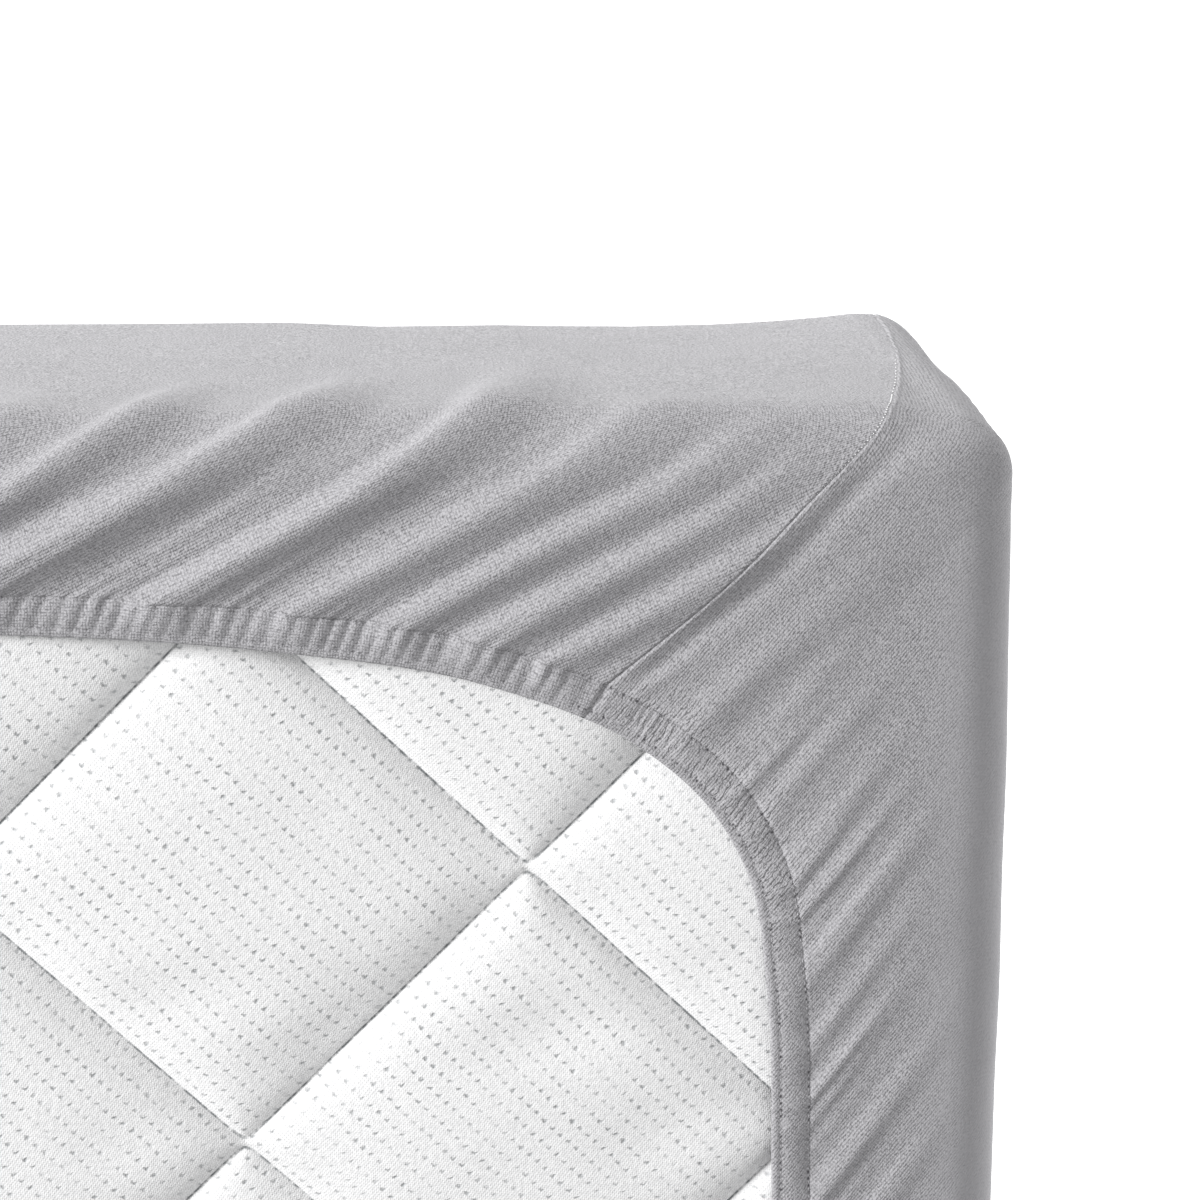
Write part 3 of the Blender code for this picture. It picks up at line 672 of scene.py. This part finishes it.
# The cloth's rows of points from the hem to the ground, by share or by angle of its four parts
FLAP, TURN, WALL, FOOT = range(4)
cloth_rows = [(FLAP, s) for s in (0, 0.025, 0.06, 0.11, 0.17, 0.24, 0.32)]
cloth_rows += [(FLAP, s) for s in (0.4, 0.49, 0.58, 0.67, 0.76, 0.85, 0.93)]
cloth_rows += [(TURN, np.radians(a)) for a in (90, 79, 68, 57, 46, 35, 23, 11)]
cloth_rows += [(WALL, s) for s in (1, 0.94, 0.875, 0.8, 0.72, 0.63, 0.53, 0.42, 0.31, 0.19, 0.08, 0)]
cloth_rows += [(FOOT, np.radians(a)) for a in (25, 50, 75, 90)]

# Over this much of the hem past a seam, the short side's form turns into the long side's
SIDE_BLEND = 45 * MM
# The flap slopes down a little toward the mattress's edge, more so on the long sides
SHORT_FLAP_DROOP = 2.2 * MM
LONG_FLAP_DROOP = 6.4 * MM
LONG_HEM_DROOP = 2.2 * MM
# Past a corner seam the cloth falls away toward the corner: how deep and over how much, mm. Then
# it stands out a little: along from the corner's arc, and outward, mm.
CORNER_HOLLOW, CORNER_HOLLOW_FROM = 5.6, 26
SIDE_BULGE = (
    (-8, 0), (3, 1.7), (10, 2.9), (18, 2.1), (30, 1.1), (60, 0.6), (320, 0.9), (400, 0),
)


def eased(share):
    """From 0 to 1 with a soft start and a soft end."""
    share = np.clip(share, 0, 1)
    return share * share * (3 - 2 * share)


def droop(short, height, inset):
    """How far the flap and the top of the wall sink on the short and the long sides."""
    low_short = SHORT_FLAP_DROOP * eased((40 * MM - inset) / (34 * MM))
    slope = np.clip((48 * MM - inset) / (48 * MM), 0, 1) ** 1.25
    low_long = LONG_HEM_DROOP + (LONG_FLAP_DROOP - LONG_HEM_DROOP) * slope
    low = short * low_short + (1 - short) * low_long
    return low * np.clip(1.4 - (FLAP_TOP - height) / (60 * MM), 0, 1)


def corner_form(side, reached, height):
    """How far the short wall falls in past each corner seam, and how far the corner stands out."""
    share = np.clip(side / MM / CORNER_HOLLOW_FROM, 0, 1) * np.clip(1.5 - side / (100 * MM), 0, 1)
    hollow = CORNER_HOLLOW * share * eased((height - 15 * MM) / (55 * MM))
    bulge = np.interp(reached / MM, *zip(*SIDE_BULGE)) * eased((height - 35 * MM) / (50 * MM))
    bulge = bulge * (1 - 0.25 * eased((height - 100 * MM) / (40 * MM)))
    return hollow * MM, bulge * MM


def lay_cloth(columns, kind, value):
    """One row of the cloth's outer face, with its marks and its places in the two knits."""
    q = columns
    _, side, to_long = from_seams(columns)
    short = np.clip(1 - side / SIDE_BLEND, 0, 1)
    shoulder = LONG_SHOULDER + (SHORT_SHOULDER - LONG_SHOULDER) * short
    wall_top = FLAP_TOP - shoulder
    wall_height = GROUND_EDGE + (wall_top - GROUND_EDGE) * (value if kind == WALL else 0)
    for _ in range(2):
        row, _ = stitch_row(q)
        inset = np.minimum(WIDTH / 2 - np.abs(row[:, 0]), LENGTH / 2 - np.abs(row[:, 1]))
        flap = inset - shoulder
        past_flap = {
            FLAP: (value - 1) * flap,
            TURN: shoulder * (np.pi / 2 - value),
            WALL: shoulder * np.pi / 2 + wall_top - wall_height,
            FOOT: shoulder * np.pi / 2 + wall_top,
        }[kind]
        across = flap + past_flap
        hang, lean = hangs_over(across)
        q = columns + to_long * hang * np.exp(-((side / (32 * MM)) ** 2))
    reached = fanned(q % ROUND)
    if kind in (FLAP, TURN):
        edge, outward = outline(place_of(reached), 0, CORNER_TOP, CORNER_PULL)
        tilt = np.pi / 2 if kind == FLAP else value
        inward = inset - value * flap if kind == FLAP else shoulder * (1 - np.cos(value))
        plan = edge + (row - edge) * (inward / inset)[:, None]
        height = FLAP_TOP - shoulder * (1 - np.sin(tilt))
        where_to = reached
    else:
        height = wall_height if kind == WALL else GROUND_EDGE * (1 - np.sin(value)) + q * 0
        share = (np.maximum(height, GROUND_EDGE) if kind == FOOT else height) / FLAP_TOP
        radius = CORNER_FOOT + (CORNER_TOP - CORNER_FOOT) * share
        tilt = 0 if kind == WALL else -value
        inward = 0 if kind == WALL else GROUND_EDGE * (1 - np.cos(value))
        where_to = leaned(reached, lean)
        plan, outward = outline(place_of(where_to), inward, radius - inward, CORNER_PULL * share)
        wave = foot_wave(where_to) * np.clip(1 - height / (90 * MM), 0, 1)
        plan = plan + outward * wave[:, None]
        inward = np.zeros_like(q)
    down = droop(short, height, inward)
    if kind != FLAP:
        hollow, bulge = corner_form(side, where_to, height)
        turned = np.cos(tilt) if kind == TURN else 1
        plan = plan + (outward * bulge[:, None] - np.sign(row) * (0, 1) * hollow[:, None]) * turned
    ribs, strong = gathers(q)
    lift = fold_height(q, across) + seam_relief(side / MM, across)
    carried = np.interp(side / MM, (0, 12, 90, 110), (3.2, 6.5, 6.5, 3.2)) * MM
    lift = lift + 0.75 * MM * (ribs - RIB_MEAN) * strong * np.exp(-across / carried)
    lift = lift + 0.3 * MM * uneven(q, across, 31 * MM, 42, 111) * np.minimum(across / (20 * MM), 1)
    if kind == FOOT:
        lift = lift * 0
    plan = plan + outward * (lift * np.cos(tilt))[:, None]
    edge, _ = outline(place_of(reached), 0, CORNER_TOP, CORNER_PULL)
    knit = edge + (row - edge) * (1 - np.minimum(across, flap) / inset)[:, None]
    over = np.maximum(past_flap, 0) * np.ones_like(q)
    knit = np.hstack([knit + np.sign(row) * (0, 1) * over[:, None], knit + unit(edge - row) * over[:, None]])
    tight = eased((past_flap + 14 * MM) / (20 * MM)) * np.clip((side - 4 * MM) / (60 * MM), 0, 1)
    marks = np.column_stack([tight, wrinkled(side) * np.exp(-across / (5 * MM))])
    return np.column_stack([plan, height + lift * np.sin(tilt) - down]), marks, knit


# The photograph looks at the hem round this place before the first seam, and this far to each side
SHOWN_AT, SHOWN_HALF = 30 * MM, 262 * MM


def spaced(close, apart, at_seam, multiple):
    """Places round the hem, span by span: close where the photograph looks and beside the seams."""
    spans = []
    for low, high in zip(row_stops[:-1], row_stops[1:]):
        fine = np.linspace(low, high, 4000)
        gap = np.where(np.abs(fine - row_stops[1] + SHOWN_AT) < SHOWN_HALF, close, apart)
        gap = np.minimum(gap, at_seam + 0.22 * np.maximum(np.abs(from_seams(fine)[1]) - 1.2 * MM, 0))
        count = np.concatenate([[0], np.cumsum(np.diff(fine) / gap[1:])])
        steps = int(round(count[-1] / multiple)) * multiple
        spans.append(np.interp(np.arange(steps) * count[-1] / steps, count, fine))
    return spans


columns = spaced(1.15 * MM, 2.8 * MM, 0.26 * MM, multiple=2)
seam_columns = [len(np.concatenate(columns[: 2 * k + 1])) for k in range(4)]
columns = np.concatenate(columns)
around = len(columns)

laid = [lay_cloth(columns, kind, value) for kind, value in cloth_rows]
# The last row lies on the ground, inside the sleeping panel's edge
ground, mark_row, knit_row = laid[-1]
laid.append((ground * (1 - 40 * MM / WIDTH, 1 - 40 * MM / LENGTH, 0), mark_row, knit_row))
outer, marks, knits = (np.array(part) for part in zip(*laid))
lengthways = np.roll(outer, -1, axis=1) - np.roll(outer, 1, axis=1)
sideways = np.gradient(outer, axis=0)
facing = unit(np.cross(lengthways, sideways))
inner_rows = [0, *range(1, len(outer) - 1, 2), len(outer) - 1]
inner = (outer - facing * JERSEY_THICK)[inner_rows][:, ::2]


def grid_faces(rows, count, first, flip):
    """Quads between closed rings of points, which are numbered from first."""
    i = np.arange(count)
    j = (i + 1) % count
    quads = []
    for r in range(rows - 1):
        a, b = first + r * count, first + (r + 1) * count
        quad = np.stack([a + i, a + j, b + j, b + i], axis=1)
        quads.append(quad[:, ::-1] if flip else quad)
    return np.concatenate(quads)


half = around // 2
outer_faces = grid_faces(len(outer), around, 0, False)
first_inner = len(outer) * around
inner_faces = grid_faces(len(inner_rows), half, first_inner, True)
k = np.arange(half)
rim_faces = [first_inner + k, first_inner + (k + 1) % half, (2 * k + 2) % around, 2 * k + 1, 2 * k]
rim_faces = np.stack(rim_faces, axis=1)
last_outer = first_inner - around
last_inner = first_inner + (len(inner_rows) - 1) * half
faces = outer_faces.tolist() + inner_faces.tolist() + rim_faces.tolist()
faces.append((last_outer + np.arange(around)).tolist())
faces.append((last_inner + np.arange(half))[::-1].tolist())
points = np.concatenate([outer.reshape(-1, 3), inner.reshape(-1, 3)])
sheet_mesh = bpy.data.meshes.new("jersey_sheet")
sheet_mesh.from_pydata(points.tolist(), [], faces)
sheet_mesh.shade_smooth()


def counted(parts, name):
    """One whole number of each corner or face of a mesh."""
    values = np.zeros(len(parts), np.int32)
    parts.foreach_get(name, values)
    return values


def lay_grain(mesh, q, short_way, long_way):
    """The knit's own UV map, in metres: one way of the knit on the short sides, one on the long."""
    grain = mesh.uv_layers.new(name="grain")
    vertex = counted(mesh.loops, "vertex_index")
    start = counted(mesh.polygons, "loop_start")
    total = counted(mesh.polygons, "loop_total")
    face = np.repeat(np.arange(len(mesh.polygons)), total)
    turned = q[vertex]
    wraps = np.maximum.reduceat(turned, start) - np.minimum.reduceat(turned, start) > ROUND / 2
    turned = np.where(wraps[face] & (turned < ROUND / 2), turned + ROUND, turned)
    middle = np.add.reduceat(turned, start)[face] / total[face]
    _, side, _ = from_seams(middle % ROUND)
    uv = np.where((side < 0)[:, None], short_way[vertex], long_way[vertex])
    grain.data.foreach_set("uv", uv.astype(np.float32).ravel())


def turned_knit(places, way):
    """Places across and along the wales of a knit that runs this way, in degrees."""
    c, n = np.cos(np.radians(way)), np.sin(np.radians(way))
    x, y = places[:, 0], places[:, 1]
    return np.stack([y * c - x * n, x * c + y * n], axis=1)


all_q = np.concatenate([np.tile(columns, len(outer)), np.tile(columns[::2], len(inner_rows))])
all_knit = np.concatenate([knits.reshape(-1, 4), knits[inner_rows][:, ::2].reshape(-1, 4)])
lay_grain(sheet_mesh, all_q, turned_knit(all_knit[:, :2], 25), turned_knit(all_knit[:, 2:], 50))
all_marks = np.concatenate([marks.reshape(-1, 2), marks[inner_rows][:, ::2].reshape(-1, 2)])
# One small wrinkle of the gathers, along the hem
WRINKLE = 1.75 * MM
mark(sheet_mesh, drawn_tight=all_marks[:, 0], wrinkled=all_marks[:, 1], wrinkle_place=all_q / WRINKLE)

# Single jersey in melange grey cotton: knitted, matt and a little furry, so that it looks softly
# mottled with fine ribs. Its wales and courses are about 0.6 mm apart, drawn at 0.78 and 0.8 mm
# so that they show.
WALE, COURSE = 0.78 * MM, 0.80 * MM
# The hem's needle holes, painted as dark dots of shade: their pitch, and their two rows from the
# casing's outer edge inward
STITCH = 1.9 * MM
HOLE_ROWS = (0.3 * MM, 7.9 * MM)
BASE, FLECK, HOLE_SHADE = "#BCBBBE", "#828184", "#5A585C"


def jersey_material(name, holes):
    """The jersey, with the painted shade of a hem's needle holes or without."""
    made, tree, shader = new_material(
        name, {"Roughness": 0.92, "Specular IOR Level": 0.2, "Sheen Weight": 0.15, "Sheen Roughness": 0.45}
    )
    place = add(tree, "TexCoord", out="Object")
    grain = add(tree, "SeparateXYZ", [add(tree, "TexCoord", out="UV")]).node
    wander = add(tree, "TexNoise", {"Vector": place, "Scale": 420})
    wander = add(tree, "Math SUBTRACT", [wander, 0.5])
    loops = []
    for along, pitch, strays in ((grain.outputs[0], WALE, 3), (grain.outputs[1], COURSE, 4.5)):
        loop = add(tree, "Math MULTIPLY", [along, np.pi / pitch])
        loop = add(tree, "Math MULTIPLY_ADD", [wander, strays, loop])
        loop = add(tree, "Math SINE", [loop])
        loops.append(add(tree, "Math ABSOLUTE", [loop]))
    stitch = add(tree, "Math MULTIPLY_ADD", [loops[1], 0.7, 0.3])
    stitch = add(tree, "Math MULTIPLY", [loops[0], stitch])
    gap = add(tree, "Math SUBTRACT", [1, stitch])
    broken = add(tree, "TexNoise", {"Vector": place, "Scale": 1300, "Detail": 1})
    broken = add(tree, "MapRange", [broken, 0.3, 0.65, 0.2, 1.25])
    gap = add(tree, "Math MULTIPLY", [gap, broken])
    # Where the cloth is drawn tight over the long sides, its stitches lie flatter
    loose = add(tree, "Attribute", out="Fac", attribute_name="drawn_tight")
    loose = add(tree, "Math MULTIPLY_ADD", [loose, -0.7, 1])
    gap = add(tree, "Math ADD", [gap, -0.4])
    gap = add(tree, "Math MULTIPLY_ADD", [gap, loose, 0.4])
    stitch = add(tree, "Math SUBTRACT", [1, gap])
    melange = add(tree, "TexNoise", {"Vector": place, "Scale": 1500})
    melange = add(tree, "MapRange", [melange, 0.34, 0.62])
    melange = add(tree, "Math ADD", [melange, -0.5])
    melange = add(tree, "Math MULTIPLY_ADD", [melange, loose, 0.5])
    patch = add(tree, "TexNoise", {"Vector": place, "Scale": 60, "Detail": 3})
    # Small sharp wrinkles where the gathers turn the corner, each painted as a dark line of shade in its
    # crease
    crease = add(tree, "Attribute", out="Fac", attribute_name="wrinkle_place")
    crease = add(tree, "Math MULTIPLY", [crease, np.pi])
    crease = add(tree, "Math MULTIPLY_ADD", [wander, 5, crease])
    crease = add(tree, "Math SINE", [crease])
    crease = add(tree, "Math ABSOLUTE", [crease])
    crease = add(tree, "MapRange", [crease, 0.6, 0.05])
    part = add(tree, "TexNoise", {"Vector": place, "Scale": 300, "Detail": 1})
    part = add(tree, "MapRange", [part, 0.42, 0.58, 0.1, 1])
    crease = add(tree, "Math MULTIPLY", [crease, part])
    strewn = add(tree, "Attribute", out="Fac", attribute_name="wrinkled")
    crease = add(tree, "Math MULTIPLY", [crease, strewn])
    # The wrinkles' creases are painted darker as their shade, and the cloth where they show is painted a
    # little lighter
    tone = -0.1
    for share, weight in ((stitch, 0.62), (melange, 0.44), (patch, 0.2), (crease, -0.8), (strewn, 0.22)):
        tone = add(tree, "Math MULTIPLY_ADD", [share, weight, tone])
    colour = add(tree, "Mix", {"Factor": tone, 6: linear(FLECK), 7: linear(BASE)}, 2, data_type="RGBA")
    if holes:
        # Painted shade in the needle holes along the hem's two stitch rows, read from its second UV map
        rows = add(tree, "UVMap", uv_map="stitch_rows")
        rows = add(tree, "SeparateXYZ", [rows]).node
        along = add(tree, "Math MULTIPLY", [rows.outputs[0], 1 / STITCH])
        along = add(tree, "Math FRACT", [along])
        along = add(tree, "Math SUBTRACT", [along, 0.5])
        along = add(tree, "Math ABSOLUTE", [along])
        near = add(tree, "MapRange", [along, 0.3, 0.1])
        hole = 0
        for row in HOLE_ROWS:
            off = add(tree, "Math SUBTRACT", [rows.outputs[1], row])
            off = add(tree, "Math ABSOLUTE", [off])
            off = add(tree, "MapRange", [off, 0.55 * MM, 0.15 * MM])
            hole = add(tree, "Math ADD", [off, hole])
        shade_breaks = add(tree, "TexNoise", {"Vector": place, "Scale": 500, "Detail": 0})
        shade_breaks = add(tree, "MapRange", [shade_breaks, 0.42, 0.62])
        open_holes = add(tree, "Attribute", out="Fac", attribute_name="open_holes")
        for share in (near, shade_breaks, open_holes):
            hole = add(tree, "Math MULTIPLY", [hole, share])
        colour = add(tree, "Mix", {"Factor": hole, 6: colour, 7: linear(HOLE_SHADE)}, 2, data_type="RGBA")
    tree.links.new(colour, shader.inputs["Base Color"])
    relief = 0
    for share, weight in ((stitch, 0.2), (melange, 0.06), (crease, -0.4)):
        relief = add(tree, "Math MULTIPLY_ADD", [share, weight, relief])
    raised = add(tree, "Bump", {"Height": relief, "Strength": 0.8, "Distance": MM})
    tree.links.new(raised, shader.inputs["Normal"])
    return made


sheet_mesh.materials.append(jersey_material("melange_cotton_jersey", holes=False))
sheet = put("jersey_sheet", sheet_mesh)
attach(sheet, "root")
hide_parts("fitted_sheet")


# The hem. The cloth's edge is folded into a casing about 10 mm wide over an elastic, and sewn
# down by two rows of stitches: one at its outer edge and one a little in from its inner edge.

# The casing's section, mm: inward from the outer stitch row, upward, and how much of the ribs shows
HEM_SECTION = (
    (-1.2, -1.6, 0), (-0.6, -0.2, 0.8), (0.1, 0.05, 0.85), (0.8, 0.35, 1), (1.8, 0.65, 1),
    (3, 0.9, 1), (4.3, 1, 1), (5.6, 0.95, 1), (6.7, 0.75, 0.9), (7.4, 0.5, 0.7),
    (7.9, 0.3, 0.5), (8.4, 0.42, 0.45), (9, 0.48, 0.4), (9.6, 0.35, 0.3), (10.1, 0.1, 0.2),
    (10.4, -0.35, 0.1), (10.2, -1.1, 0), (9.2, -1.6, 0), (5, -1.9, 0), (0.5, -1.9, 0),
)
RIB_RISE = 0.67 * MM

hem_columns = np.concatenate(spaced(0.62 * MM, 1.15 * MM, 1.15 * MM, multiple=1))
# The gathers' lean toward the long side for each millimetre inward, at this distance over, mm
GATHERS_LEAN = (
    (-260, 0.45), (-150, 0.4), (-40, 0.22), (0, 0.1), (30, -0.15), (60, -0.4), (90, -0.75), (130, -0.9),
)
seam_at = SEAM_PATH[0][1]


def leaning(q, inward):
    """The place on the outer stitch row of the gather that passes here, this far inward."""
    _, side, to_long = from_seams(q)
    return q + to_long * np.interp(side / MM, *zip(*GATHERS_LEAN)) * inward


def hem_ring(q, inward, up, shows):
    """One line of points along the hem, this far in from its outer stitch row."""
    row, out_of_row = stitch_row(q)
    _, side, _ = from_seams(q)
    ribs, strong = gathers(leaning(q, inward * MM))
    joint = -0.8 * MM * np.exp(-(((side / MM - seam_at + 0.15 * inward) / 0.7) ** 2)) * (up > 0)
    carried = fold_height(q, q * 0) * max(0, 1 - max(inward, 0) / 9.5)
    slope = LONG_HEM_DROOP * np.clip(side / SIDE_BLEND, 0, 1) * (1 - inward / 10.5)
    level = np.clip(side / (12 * MM), 0, 1) * np.clip((120 * MM - side) / (30 * MM), 0, 1)
    level = level * (0.3 * MM * np.sin(np.pi * np.clip(inward / 7.9, 0, 1)) + 0.09 * MM * max(inward, 0))
    lift = RIB_RISE * (ribs - RIB_MEAN) * strong * shows + joint + carried - slope - level
    narrow = 0.25 * MM * (ribs - 0.5) * strong * shows * (1 if inward > 7 else -1)
    flat = row - out_of_row * (inward * MM + narrow)[:, None]
    return np.column_stack([flat, FLAP_TOP + up * MM + lift])


hem_rings = np.array([hem_ring(hem_columns, *part) for part in HEM_SECTION])
count = len(hem_columns)
faces = grid_faces(len(hem_rings), count, 0, True)
last = (len(hem_rings) - 1) * count
i = np.arange(count)
j = (i + 1) % count
closing = np.stack([i, j, last + j, last + i], axis=1)
faces = np.concatenate([faces, closing])
hem_mesh = bpy.data.meshes.new("elastic_hem")
hem_mesh.from_pydata(hem_rings.reshape(-1, 3).tolist(), [], faces.tolist())
hem_mesh.shade_smooth()
inwards = np.concatenate([np.full(count, inward * MM) for inward, _, _ in HEM_SECTION])
hem_q = np.tile(hem_columns, len(HEM_SECTION))
lay_grain(hem_mesh, hem_q, np.stack([inwards, hem_q], 1), turned_knit(hem_rings.reshape(-1, 3)[:, :2], 50))
rows = hem_mesh.uv_layers.new(name="stitch_rows")
on_rows = np.stack([hem_q, inwards], 1)[counted(hem_mesh.loops, "vertex_index")]
rows.data.foreach_set("uv", on_rows.astype(np.float32).ravel())
hem_side = from_seams(hem_q)[1]
mark(
    hem_mesh,
    open_holes=np.interp(hem_side / MM, (-12, 0), (0.4, 1)),
    wrinkled=wrinkled(hem_side) * np.clip((9.5 * MM - inwards) / (2 * MM), 0, 1),
    wrinkle_place=leaning(hem_q, inwards) / WRINKLE,
)
hem_mesh.materials.append(jersey_material("sewn_melange_jersey", holes=True))
hem = put("elastic_hem", hem_mesh)
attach(hem, "root")


# The thread. Two rows of lockstitch hold the hem's casing down, and one row along each corner
# seam joins the walls. Each stitch that lies on the cloth is one small pointed bead.

# Each stitch's length and width
HEM_STITCH, SEAM_STITCH = (1 * MM, 0.38 * MM), (0.6 * MM, 0.46 * MM)
# The hem's rows: inward and up, mm, and how much of the ribs shows
HEM_STITCHES = ((0.35, 0.08, 0.85), (7.9, 0.2, 0.5))
# Along a seam: from the hem to its first stitch, from the end back to the wide stitches, how far
# those go on, the two pitches, and how far beside the seam they lie
SEAM_FROM, WIDE_FROM, WIDE_RUN = 48 * MM, 128 * MM, 50 * MM
PITCH_CLOSE, PITCH_WIDE, BESIDE_SEAM = 1.25 * MM, 4.4 * MM, 0.35 * MM
thread_points, thread_faces = [], []


def sew(places, along, upward, long, wide):
    """Adds a small pointed bead of thread at each place, to the points and triangles."""
    along = unit(along)
    beside = unit(np.cross(upward, along)) * wide / 2
    above = upward * (wide / 2)
    tip = along * long / 2
    corners = [places - tip, places + tip, places + beside, places + above, places - beside, places - above]
    first = sum(len(part) for part in thread_points) + 6 * np.arange(len(places))
    sides = []
    for a, b in ((2, 3), (3, 4), (4, 5), (5, 2)):
        sides += [(0, b, a), (1, a, b)]
    thread_points.append(np.stack(corners, axis=1).reshape(-1, 3))
    thread_faces.append((first[:, None, None] + np.array(sides)).reshape(-1, 3))


for inward, up, shows in HEM_STITCHES:
    spots = np.arange(0, ROUND, ROUND / round(ROUND / STITCH))
    line = hem_ring(spots, inward, up, shows) + (0, 0, 0.08 * MM)
    sew(line, np.roll(line, -1, axis=0) - line, np.array((0, 0, 1)), *HEM_STITCH)
hem_faces = sum(len(part) for part in thread_faces)
for column in seam_columns:
    aside = BESIDE_SEAM * lengthways[:-1, column]
    aside = aside / np.linalg.norm(lengthways[:-1, column], axis=1)[:, None]
    path = outer[:-1, column] - aside * (1 if column in seam_columns[::2] else -1)
    run = np.concatenate([[0], np.cumsum(np.linalg.norm(np.diff(path, axis=0), axis=1))])
    wide_from = run[-1] - WIDE_FROM
    spots = np.arange(SEAM_FROM, wide_from, PITCH_CLOSE)
    spots = np.concatenate([spots, np.arange(wide_from, wide_from + WIDE_RUN, PITCH_WIDE)])
    line = along_line(spots, run, path)
    upward = along_line(spots, run, facing[:-1, column])
    sew(line + upward * 0.2 * MM, np.gradient(line, axis=0), upward, *SEAM_STITCH)
thread_mesh = bpy.data.meshes.new("sewing_thread")
thread_mesh.from_pydata(np.concatenate(thread_points).tolist(), [], np.concatenate(thread_faces).tolist())
# Spun polyester, smoother than the cloth, so it looks a little brighter: pale grey on the hem, and
# white on the seams, which is painted highlight on their stitches
for name, colour in (("pale_grey_thread", "#B9B8BB"), ("seam_highlight_thread", "#F6F6F6")):
    spun, _, _ = new_material(name, {"Base Color": linear(colour), "Roughness": 0.6})
    thread_mesh.materials.append(spun)
on_seam = np.arange(len(thread_mesh.polygons)) >= hem_faces
thread_mesh.polygons.foreach_set("material_index", on_seam.astype(np.int32))
thread = put("sewing_thread", thread_mesh)
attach(thread, "root")


# The setting, which stands in for the photograph's white ground and its soft light: a plain pale
# floor that glows, one broad light from the upper left and a pale sky.

bpy.ops.mesh.primitive_plane_add(size=8, location=(0, 0, 0))
floor = bpy.context.object
floor.name = "floor"
# Opal acrylic, a milky sheet that glows as if lit from below, so that it looks evenly white. It glows
# brightest round the sheet, and beside its right wall it glows more, which paints out the shadow that
# the sheet casts there and lights that wall.
opal, tree, shader = new_material(
    "opal_acrylic", {"Base Color": linear("#7E7E7E"), "Roughness": 0.9, "Emission Color": (1, 1, 1, 1)}
)
where = add(tree, "TexCoord", out="Object")
off = add(tree, "VectorMath MULTIPLY", [where, (1 / 0.62, 1 / 0.93, 0)])
off = add(tree, "VectorMath LENGTH", [off], "Value")
glow = add(tree, "MapRange", [off, 0.95, 1.5, 1.2, 0.75], interpolation_type="SMOOTHSTEP")
sides = add(tree, "SeparateXYZ", [where]).node
beside = add(tree, "MapRange", [sides.outputs[0], 0.34, 0.42, 0, 1.4])
along = add(tree, "MapRange", [sides.outputs[1], 0.64, 0.5])
glow = add(tree, "Math MULTIPLY_ADD", [beside, along, glow])
tree.links.new(glow, shader.inputs["Emission Strength"])
floor.data.materials.append(opal)

key = bpy.data.lights.new("key_light", "AREA")
key.shape = "DISK"
key.size = 1.6
key.energy = 184
key_light = put("key_light", key)
z_axis = unit(np.array((-0.84, 0.34, 0.423)))
x_axis = unit(np.cross((0, 0, 1), z_axis))
y_axis = np.cross(z_axis, x_axis)
key_light.location = np.array((0.2, 0.5, 0.15)) + 4 * z_axis
key_light.rotation_euler = Matrix(np.stack([x_axis, y_axis, z_axis], axis=1).tolist()).to_euler()

sky = bpy.data.worlds.new("pale_sky")
bpy.context.scene.world = sky
bpy.context.scene.view_settings.view_transform = "Standard"
sky.use_nodes = True
sky.node_tree.nodes["Background"].inputs["Color"].default_value = (1, 1, 1, 1)
sky.node_tree.nodes["Background"].inputs["Strength"].default_value = 0.53

# The camera, at the photograph's angle over the photographed corner
YAW, PITCH = np.radians(4.4), np.radians(14.7)
CAMERA_AT = (0.1861, 0.8038, 0.8733)
look = np.array((np.sin(YAW) * np.cos(PITCH), -np.sin(PITCH), -np.cos(YAW) * np.cos(PITCH)))
right = np.array((np.cos(YAW), 0, np.sin(YAW)))
upward = np.cross(right, look)
lens = bpy.data.cameras.new("camera")
lens.lens = 90
lens.sensor_width = 36
camera = put("camera", lens)
turned = Matrix(np.stack([right, upward, -look], axis=1).tolist()).to_4x4()
camera.matrix_world = Matrix.Translation(CAMERA_AT) @ turned
bpy.context.scene.camera = camera
